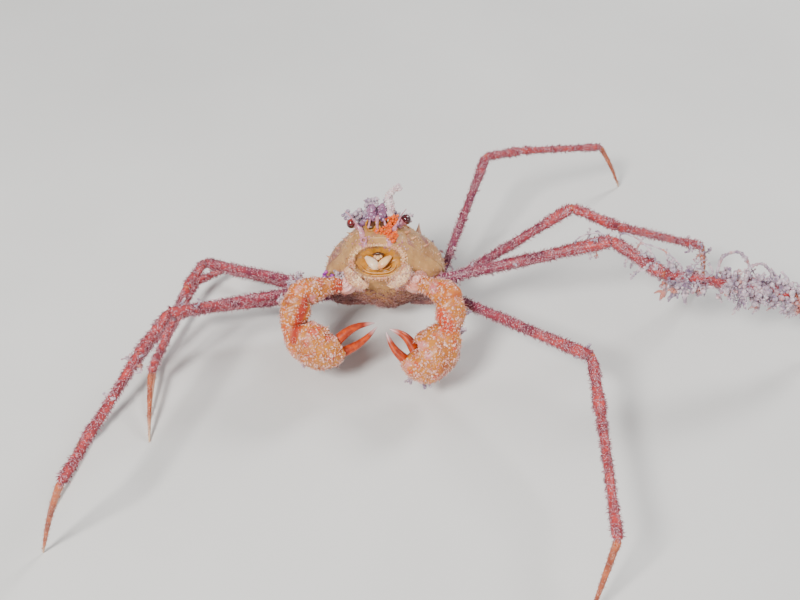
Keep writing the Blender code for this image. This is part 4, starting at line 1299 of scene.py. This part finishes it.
def bristle_finish_for(name, root, tip):
    """Bristles: stained at the root, paler and finer at the tip, with a little shine."""
    finish, tree, shader, place = new_finish(name)
    stain = node(tree, "TexNoise", {"Vector": place, "Scale": 500, "Detail": 4})
    along = node(tree, "Attribute", attribute_name="tipness")
    mixed = node(tree, "Mix", {"Factor": 0.35, "A": along.outputs["Fac"], "B": stain.outputs["Fac"]})
    colour = ramp(tree, mixed.outputs["Result"], ((0.35, paint(*root)), (0.78, paint(*tip))))
    tree.links.new(colour, shader.inputs["Base Color"])
    shader.inputs["Roughness"].default_value = 0.45
    shader.inputs["Sheen Weight"].default_value = 0.2
    return finish


leg_bristles = bristle_finish_for("bristle_pink", (132, 38, 60), (244, 196, 208))
tip_bristles = bristle_finish_for("bristle_buff", (164, 76, 46), (236, 208, 190))
triangles = 0
for side, pair, *_ in LEGS:
    label = SIDE_NAMES[side] + "_leg_" + str(pair)
    skins = [leg_grids[label, piece] for piece in PIECES[:3]]
    triangles += add_coat(label + "_bristles", skins, 5.6, 1.0, leg_bristles, "leg", width=0.07)
    triangles += add_coat(label + "_tip_bristles", [leg_grids[label, "dactylus"]], 5.0, 0.6, tip_bristles,
                          "leg_tip", width=0.05)
print("leg bristle faces:", triangles)

# %% [markdown]
# The claws carry a fringe of shorter, straighter bristles between their grains.
# The shell's edge and breast are downy; the smooth cheeks beside the mouth are nearly bare.
# The density on the trunk follows a map of weights, one for each place of its grid.

# %% Bristles of the claws and trunk
claw_bristles = bristle_finish_for("bristle_cream", (190, 108, 66), (244, 222, 214))
for label in ("left", "right"):
    skins = [claw_grids[label + "_claw_" + piece] for piece in ("merus", "carpus", "palm")]
    triangles += add_coat(label + "_claw_bristles", skins, 1.6, 0.75, claw_bristles, "claw", curl=0.3)
root_bristles = bristle_finish_for("bristle_mauve", (134, 76, 70), (222, 176, 170))
triangles += add_coat("root_bristles", leg_roots + claw_roots, 3.5, 0.8, root_bristles, "chest")

shell_bristles = bristle_finish_for("bristle_buff_white", (196, 160, 132), (240, 228, 218))
edge_turn = full_turn(SHELL_COLUMNS, 0.5)
near_edge = (np.sin(edge_turn) > -0.05) * (0.3 + hill(np.sin(edge_turn), 0.2))
triangles += add_coat("shell_bristles", [shell_skin], 1.8, 0.55, shell_bristles, "shell", 0.05, 0.5,
                      [behind_brow * near_edge])
chest_turn = full_turn(CHEST_COLUMNS, 0.5)
chest_forward = np.linspace(STATIONS[0, 0], STATIONS[-1, 0], CHEST_ROWS)
behind_mouth = np.clip((1.0 - chest_forward) / 2, 0.02, 1)
downward = np.sin(chest_turn) < -0.1
triangles += add_coat("chest_bristles", [chest_skin], 3.0, 0.7, root_bristles, "chest", 0.05, 0.5,
                      [np.outer(behind_mouth, downward)])
triangles += add_coat("tail_flap_bristles", [flap], 7.0, 0.8, root_bristles, "chest", 0.055, 0.5)
for side, label in SIDE_NAMES.items():
    triangles += add_coat(label + "_mouthpart_fringe", [blade_grids[side]], 12.0, 0.9, claw_bristles, "chest",
                          0.045, 0.5)
print("bristle faces so far:", triangles)

# %% [markdown]
# Spider crabs plant living things on themselves: feathery hydroids, crusts and chalky worm tubes.
# A sprig is a bent stem with side twigs and small heads; a worm tube is a curling pipe.
# Each could be sculpted by hand, but small functions that bend at random make every one different.
# The random numbers start from a fixed seed, so the same growth comes back each time.

# %% Shapes of growth
growth_finish = crab_skin("growth_white", (220, 200, 206), (128, 102, 130), (252, 244, 246),
                          stain_scale=500, fleck_scale=2600, fleck_size=0.22, bump=0.6, roughness=0.6,
                          tint=blotch_tint(paint(200, 116, 92), 260, 0.56))
worm_finish = crab_skin("worm_tube_pale", (238, 222, 220), (206, 170, 176), (255, 250, 248),
                        stain_scale=900, fleck_size=0.1, bump=0.4, roughness=0.5)
DOWN = np.array([0, 0, -1.0])


def sprig(root, out, length, droop=0.0):
    """A feathery hydroid: a bent stem, side twigs that shorten upwards, and small heads."""
    sway = unit(draw.normal(0, 1, 3))
    stem = curved([root - out * 0.2, root + (out + 0.25 * sway) * length * 0.5,
                   root + unit(out + 0.5 * sway + droop * DOWN) * length], 12)
    shapes = [tube(stem, np.linspace(0.2, 0.08, 12), 5)]
    heads, facing = [stem[-1]], [out]
    for i in range(2, 12):
        twig_out = unit(np.cross(out, draw.normal(0, 1, 3)) + 0.5 * out)
        reach = length * draw.uniform(0.14, 0.32) * (1.15 - i / 14)
        tip = stem[i] + twig_out * reach
        twig = curved([stem[i], stem[i] + twig_out * reach * 0.5 + out * 0.1, tip], 4)
        shapes.append(tube(twig, np.array([0.1, 0.08, 0.07, 0.05]), 4))
        heads.append(tip)
        facing.append(twig_out)
    shapes.append(beads(np.array(heads), np.array(facing), draw.uniform(0.12, 0.22, len(heads)), 1.2))
    return shapes


def crust(places, out, size):
    """Lumpy encrusting growth: uneven overlapping balls."""
    points, faces = beads(places, out, draw.uniform(0.5, 1.1, len(places)) * size, 0.9, 2)
    return points + draw.normal(0, 0.05 * size, points.shape), faces


def lobe(root, out, length, radius):
    """A ragged, tapering lobe: a bent tube with an uneven thickness, and short branches."""
    sway = unit(draw.normal(0, 1, 3)) * 0.18 * length
    path = curved([root, root + out * length * 0.5 + sway, root + out * length], 24)
    share = np.linspace(0, 1, 24)
    uneven = 1 + 0.22 * np.sin(21 * share + draw.uniform(0, 6)) + draw.normal(0, 0.08, 24)
    shapes = [tube(path, radius * (1 - 0.75 * share) * uneven, 9)]
    for i in (6, 10, 14, 18):
        branch_out = unit(out + unit(draw.normal(0, 1, 3)))
        branch = curved([path[i], path[i] + branch_out * 0.14 * length, path[i] + out * 0.1 * length
                         + branch_out * 0.24 * length], 8)
        shapes.append(tube(branch, np.linspace(0.42, 0.16, 8) * radius, 7))
    return shapes


def thread_loop(start, end, rise, radius):
    """A thread that arches from one place to another, beaded along its way."""
    middle = (start + end) / 2 + rise
    path = curved([start, start + 0.75 * rise, middle, end + 0.6 * rise, end], 30)
    shapes = [tube(path, radius * (1 + 0.3 * np.sin(np.linspace(0, 70, 30))), 8)]
    out = unit(draw.normal(0, 1, (40, 3)))
    at = path[draw.integers(0, 30, 40)] + out * radius
    shapes.append(beads(at, out, draw.uniform(0.5, 1.2, 40) * radius, 1.0))
    return shapes


def worm_tube(root, out, length, radius):
    """A chalky pipe that curls as it grows and flares at its mouth."""
    sway = unit(np.cross(out, draw.normal(0, 1, 3)))
    middle = root + out * length * 0.45 + sway * length * 0.35
    end = root + out * length * 0.95 - sway * length * 0.1
    share = np.linspace(0, 1, 20)
    rings = radius * (0.75 + 0.25 * share + 0.35 * hill(share - 1, 0.06) + 0.05 * np.sin(50 * share))
    return tube(curved([root - out * 0.2, middle, end], 20), rings, 10)


print("growth finishes:", growth_finish.name, worm_finish.name)

# %% [markdown]
# On the legs the sprigs sit where dirt catches: at the roots, at the bends and past the knees.
# Each row of the table is one such place, so a tuft can be moved without touching the rest.

# %% Growth along the legs
# Piece of leg, from and to as shares of its length, sprigs, reach, worm tubes.
LEG_GROWTH = [
    ("left_leg_2", "merus", 0.86, 0.98, 5, 2.4, 1),
    ("left_leg_2", "carpus", 0.35, 0.95, 9, 3.0, 3),
    ("left_leg_2", "propodus", 0.02, 0.36, 9, 4.0, 4),
    ("left_leg_2", "propodus", 0.42, 0.98, 18, 4.6, 9),
    ("left_leg_2", "dactylus", 0.05, 0.60, 12, 3.6, 4),
    ("right_leg_2", "merus", 0.80, 1.0, 4, 1.6, 1),
    ("right_leg_2", "propodus", 0.0, 0.12, 5, 2.2, 1),
    ("right_leg_2", "propodus", 0.35, 0.45, 3, 1.2, 0),
    ("right_leg_4", "merus", 0.05, 0.25, 5, 1.8, 1),
    ("left_leg_4", "merus", 0.02, 0.14, 4, 1.8, 0),
    ("right_leg_3", "merus", 0.10, 0.40, 5, 1.8, 1),
    ("left_leg_5", "merus", 0.15, 0.32, 4, 1.8, 0),
    ("left_leg_3", "merus", 0.05, 0.20, 3, 1.4, 0),
    ("left_leg_3", "merus", 0.94, 1.00, 3, 1.2, 1),
    ("left_leg_2", "merus", 0.10, 0.60, 4, 1.4, 1),
    ("left_leg_4", "propodus", 0.82, 1.0, 5, 2.2, 1),
    ("left_leg_4", "dactylus", 0.05, 0.70, 7, 2.2, 2),
]


def at_share(line, share):
    """The point at a share of a line's length, or the points at several shares."""
    return line[np.asarray(share * (len(line) - 1)).astype(int)]


def across_line(line, turn):
    """A direction square to a line, turned round it."""
    axis = unit(line[-1] - line[0])
    side = unit(np.cross(axis, (0, 0, 1)))
    return side * np.cos(turn) + np.cross(side, axis) * np.sin(turn)


for order, (label, piece, low, high, count, reach, worms) in enumerate(LEG_GROWTH):
    grid = leg_grids[label, piece]
    line = grid.mean(axis=1)
    radius = np.linalg.norm(grid[len(grid) // 2] - line[len(grid) // 2], axis=-1).mean()
    shapes = []
    for i in range(count + worms):
        at = at_share(line, low + (high - low) * (i + draw.random()) / (count + worms))
        out = across_line(line, 2.4 * i + draw.uniform(-0.4, 0.4))
        if i < count:
            length = reach * draw.uniform(0.45, 1.0)
            shapes.extend(sprig(at + out * radius, out, length, draw.uniform(0, 0.5)))
        else:
            out = across_line(line, draw.uniform(0, 2 * pi))
            shapes.append(worm_tube(at + out * radius * 0.8, out, reach * draw.uniform(0.4, 0.8), 0.24))
    add_piece(label + "_" + piece + "_growth_" + str(order), merge(shapes), growth_finish, "leg")
print("tufts on the legs:", len(LEG_GROWTH))

# %% [markdown]
# The left front leg is so overgrown past its knee that its outline is all growth.
# Ragged lobes hang from it, others stand up, threads arch over it and a lumpy crust joins them.
# They make one piece, because nobody could tell where one ends and the next begins.

# %% The overgrown front leg
OVERGROWN = "left_leg_2"
# Lobes of each piece: share of its length, reach, radius and the pull of gravity (below 0 they stand up).
LEG_LOBES = {
    "propodus": ((0.06, 7.5, 1.0, 1.0), (0.10, 5.6, 1.0, 1.0), (0.15, 5.0, 1.1, 1.0), (0.30, 4.0, 0.8, 1.0),
                 (0.34, 4.6, 0.8, 0.9), (0.58, 4.4, 0.7, 0.8), (0.62, 5.2, 0.7, 1.0), (0.78, 5.4, 0.8, 1.0),
                 (0.92, 6.0, 0.8, 1.0), (0.52, 4.6, 0.8, -0.9), (0.70, 4.6, 0.8, -0.8),
                 (0.88, 4.4, 0.8, -0.7), (0.10, 3.6, 0.8, -0.9), (0.20, 3.8, 0.8, -1.0)),
    "dactylus": ((0.12, 5.0, 0.7, 0.9), (0.3, 4.0, 0.6, -0.8)),
    "carpus": ((0.92, 2.8, 0.6, 0.7),),
}
# Threads: from piece and share, to piece and share, how high they arch, and radius.
LEG_LOOPS = (("carpus", 0.15, "carpus", 0.8, 3.2, 0.16), ("merus", 0.8, "merus", 0.95, 2.6, 0.14),
             ("propodus", 0.40, "propodus", 0.62, 6.5, 0.28), ("propodus", 0.62, "propodus", 0.80, 5.0, 0.26),
             ("carpus", 0.5, "propodus", 0.12, 3.4, 0.16))
# Crusts: piece, from, to, balls, size, how far out, and the arc of the leg that they cover.
LEG_CRUSTS = (("propodus", 0.03, 0.32, 170, 0.45, 2.4, pi), ("propodus", 0.44, 1.0, 520, 0.5, 2.4, 2 * pi),
              ("dactylus", 0.0, 0.5, 200, 0.42, 1.6, 2 * pi), ("carpus", 0.7, 1.0, 40, 0.35, 0.8, 2 * pi))

lines = {piece: leg_grids[OVERGROWN, piece].mean(axis=1) for piece in PIECES}
shapes = []
for piece, lobes in LEG_LOBES.items():
    for share, reach, radius, gravity in lobes:
        out = across_line(lines[piece], draw.uniform(0, 2 * pi)) * 0.5 + np.array([0, -0.25, -1.0]) * gravity
        shapes.extend(lobe(at_share(lines[piece], share), unit(out), reach, radius))
for first, low, last, high, rise, radius in LEG_LOOPS:
    lift = np.array([0.1, 0.3, 1.0]) * rise
    shapes.extend(thread_loop(at_share(lines[first], low), at_share(lines[last], high), lift, radius))
for piece, low, high, count, size, reach, arc in LEG_CRUSTS:
    shares = draw.uniform(low, high, count)
    out = np.array([across_line(lines[piece], -turn) for turn in draw.uniform(0, arc, count)])
    distance = 0.7 + reach * draw.random(count) ** 1.6
    shapes.append(crust(at_share(lines[piece], shares) + out * distance[:, None], out, size))
add_piece(OVERGROWN + "_crust", merge(shapes), growth_finish, "leg")
print("shapes on the overgrown leg:", len(shapes))

# %% [markdown]
# The back is out of the photograph, and the growth there follows the species: low ochre sponge with
# a few sprigs in it. Each heap is scattered round a place and then moved to the nearest point of the
# shell, which costs less than casting rays and lies as close.

# %% Growth on the back
# Heaps: forward, side, size and sprigs.
BACK_GROWTH = ((3.0, -3.4, 0.9, 2), (-1.6, 3.2, 1.3, 3), (-6.4, -3.6, 1.2, 0), (-6.6, 8.0, 1.1, 4),
               (-1.8, -8.6, 1.3, 3), (5.2, 4.0, 0.7, 2), (-10.4, 2.0, 0.9, 2), (-3.0, 9.8, 0.8, 3))
BALLS_PER_HEAP = 70

crusts, sprigs = [], []
for forward, side, size, count in BACK_GROWTH:
    root = on_body(forward, side, float(back_level(forward, abs(side))))
    out = unit(UPWARD + 0.1 * side * SIDEWAYS)
    places = nearest(shell_skin, root + draw.normal(0, 0.7, (BALLS_PER_HEAP, 3)) * size)
    crusts.append(crust(places, out, 0.24))
    for place in places[:count]:
        sprigs.extend(sprig(place, unit(out + 0.7 * unit(draw.normal(0, 1, 3))), 1.8 * size))
back_sponge_finish = crab_skin("back_sponge_ochre", (196, 128, 70), (140, 78, 52), (232, 190, 150),
                               stain_scale=600, fleck_size=0.15, bump=0.8)
add_piece("back_sponge", merge(crusts), back_sponge_finish, "shell")
add_piece("back_growth", merge(sprigs), growth_finish, "shell")
print("heaps on the back:", len(BACK_GROWTH))

# %% [markdown]
# The claws are kept cleaner, but tufts stand on their outer edges, where nothing rubs them off.
# One violet crust shines between the right arm and the shell, so it gets a finish of its own.

# %% Growth on the claws
# Piece of claw, which way the tufts stand, how many and their reach.
CLAW_TUFTS = (("left_claw_palm", (1.0, 0.2, 0.2), 4, 1.3), ("left_claw_palm", (0.1, -0.6, -1.0), 4, 1.3),
              ("left_claw_palm", (-0.8, -0.5, -0.8), 3, 1.2), ("left_claw_carpus", (1.0, 0.3, 0.0), 3, 1.0),
              ("right_claw_merus", (-0.6, 0.8, 0.8), 8, 1.6), ("right_claw_merus", (0.4, 0.7, 0.8), 6, 1.4),
              ("right_claw_palm", (-0.6, -0.4, -1.0), 3, 1.0),
              ("right_claw_carpus", (-1.0, 0.3, 0.2), 4, 1.0))


def outermost(grid, way, count):
    """Some of the points of a grid that lie furthest one way."""
    points = grid.reshape(-1, 3)
    furthest = np.argsort(points @ np.array(way, float))[-6 * count:]
    return points[draw.choice(furthest, count, replace=False)]


shapes = []
for name, way, count, reach in CLAW_TUFTS:
    places = outermost(claw_grids[name], way, count)
    out = unit(way)
    shapes.append(crust(places, out, 0.4))
    for place in places:
        shapes.extend(sprig(place, unit(out + 0.6 * unit(draw.normal(0, 1, 3))), reach))
add_piece("claw_growth", merge(shapes), growth_finish, "claw")
violet_finish = crab_skin("crust_violet", (196, 66, 168), (112, 60, 190), (240, 190, 240),
                          stain_scale=600, fleck_size=0.2, bump=0.6, roughness=0.4)
violet_at = on_body(1.4, -10.6, -7.0) + draw.normal(0, 0.7, (60, 3))
add_piece("violet_crust", crust(violet_at, FORWARD, 0.42), violet_finish, "chest")
print("tufts on the claws:", len(CLAW_TUFTS))

# %% [markdown]
# On the snout the growth is tallest: a row of sprigs, lumpy heaps and one pale worm's tube.
# The tube is a pipe whose path bends over to the left; grains on it break its smooth outline.

# %% Growth on the snout
# Sprigs beside the eyes: side and up. Heaps on the brow: forward, side, up, size and balls.
EYE_SPRIGS = ((-5.0, 2.2), (-4.4, 2.6), (-3.6, 2.6), (-5.4, 2.0), (4.9, 2.3), (5.3, 2.1), (3.2, 2.6))
HEAPS = ((10.8, -0.9, 4.4, 1.2, 30), (8.9, -6.1, 3.2, 1.0, 24), (8.9, -3.9, 2.6, 1.5, 46),
         (9.2, -5.4, 2.4, 0.9, 22), (9.4, -1.9, 3.2, 1.2, 34), (9.8, -0.2, 3.6, 0.9, 20),
         (9.0, 2.4, 3.0, 1.1, 28), (8.7, 5.3, 2.5, 0.8, 18), (8.8, 3.7, 2.4, 0.9, 18))
WORM_PATH = ((9.2, 1.8, 1.8), (11.5, 2.6, 3.0), (13.4, 2.4, 4.0), (14.6, 3.4, 4.6), (15.4, 4.8, 4.8))
WORM_GRAINS = 260

snout_growth = []
snout_out = unit(0.75 * FORWARD + 0.65 * UPWARD)
for side in np.linspace(-1.8, 0.6, 8):
    snout_growth.extend(sprig(on_body(9.6, side, 2.4), unit(snout_out + 0.15 * side * SIDEWAYS), 3.4))
for side, up in EYE_SPRIGS:
    snout_growth.extend(sprig(on_body(8.4, side, up), unit(snout_out + 0.1 * side * SIDEWAYS), 1.6))
for forward, side, up, size, count in HEAPS:
    places = on_body(forward, side, up) + draw.normal(0, 0.42, (count, 3)) * size
    snout_growth.append(crust(places, snout_out, 0.34 * size + 0.1))
add_piece("snout_growth", merge(snout_growth), growth_finish, "shell")
worm_radius = smooth(np.linspace(0, 1, 40), (0, 0.5, 0.9, 1), (0.9, 0.62, 0.55, 0.7))
worm_radius = worm_radius * (1 + 0.08 * np.sin(np.linspace(0, 60, 40)))
worm_pipe = tube_grid(curved([on_body(*place) for place in WORM_PATH], 40), worm_radius, 16)
at, out, _, _ = scatter(worm_pipe, WORM_GRAINS, draw)
worm_grains = beads(at, out, draw.uniform(0.1, 0.3, WORM_GRAINS), 0.9)
add_piece("snout_worm", merge([close_grid(worm_pipe), worm_grains]), worm_finish, "shell")
print("shapes on the snout:", len(snout_growth))

# %% [markdown]
# Flame-orange sponge has settled on the face, between the left eye and the mouth.
# Sponge is soft and lumpy, so it is a heap of overlapping balls with a rough finish.

# %% Sponge on the face
# Patches: forward, side, up, size and balls.
SPONGES = ((9.6, 2.6, 1.2, 1.2, 60), (9.6, 1.0, -1.2, 0.8, 30), (9.3, 2.6, -2.0, 1.2, 60),
           (9.6, 0.0, -1.1, 0.7, 26), (9.5, 1.9, -0.5, 0.9, 30), (9.2, 3.2, -0.2, 0.7, 20))

sponge_finish = crab_skin("sponge_orange", (236, 106, 0), (206, 68, 0), (246, 140, 40),
                          stain_scale=700, fleck_size=0.12, bump=0.8, roughness=0.5)
sponge = []
for forward, side, up, size, count in SPONGES:
    places = on_body(forward, side, up) + draw.normal(0, 0.45, (count, 3)) * size
    sponge.append(beads(places, unit(FORWARD - 0.3 * UPWARD), draw.uniform(0.16, 0.42, count) * size, 0.8, 2))
add_piece("face_sponge", merge(sponge), sponge_finish, "shell")
print("sponge patches:", len(SPONGES))

# %% [markdown]
# A pale floor and soft light keep the eye on the animal, as on a museum table.
# The lights are sized for a small thing: a lamp as wide as the crab is already soft.
# A main light from the upper left, a fill from the right and a low one behind part the legs.

# %% Floor and lights
FLOOR_SIZE = 3.0
floor_mesh = bpy.data.meshes.new("floor")
half = FLOOR_SIZE / 2
corners = [(-half, -half, 0), (half, -half, 0), (half, half, 0), (-half, half, 0)]
floor_mesh.from_pydata(corners, [], [(0, 1, 2, 3)])
floor = bpy.data.objects.new("floor", floor_mesh)
bpy.context.scene.collection.objects.link(floor)
floor_finish, tree, shader, place = new_finish("floor_pale")
cloud = node(tree, "TexNoise", {"Vector": place, "Scale": 14, "Detail": 4})
floor_colour = ramp(tree, cloud.outputs["Fac"], ((0.3, paint(214, 213, 210)), (0.7, paint(224, 223, 220))))
tree.links.new(floor_colour, shader.inputs["Base Color"])
shader.inputs["Roughness"].default_value = 0.7
floor_mesh.materials.append(floor_finish)


def soft_light(name, place, size, watts, colour=(1, 1, 1)):
    """A square light at a place in metres, turned to the crab."""
    lamp = bpy.data.lights.new(name, "AREA")
    lamp.size = size
    lamp.energy = watts
    lamp.color = colour
    holder = bpy.data.objects.new(name, lamp)
    holder.location = place
    aim = Vector((BODY_AT * MM).tolist()) - Vector(place)
    holder.rotation_euler = aim.to_track_quat("-Z", "Y").to_euler()
    bpy.context.scene.collection.objects.link(holder)


soft_light("main_light", (-0.22, -0.28, 0.42), 0.12, 4.0, (1.0, 0.98, 0.95))
soft_light("fill_light", (0.36, -0.20, 0.26), 0.30, 0.5, (0.95, 0.97, 1.0))
soft_light("back_light", (0.30, 0.32, 0.40), 0.16, 2.2)
world = bpy.data.worlds.new("studio")
world.use_nodes = True
world.node_tree.nodes["Background"].inputs["Color"].default_value = (0.80, 0.82, 0.85, 1)
world.node_tree.nodes["Background"].inputs["Strength"].default_value = 0.42
bpy.context.scene.world = world
print("lights: 3")
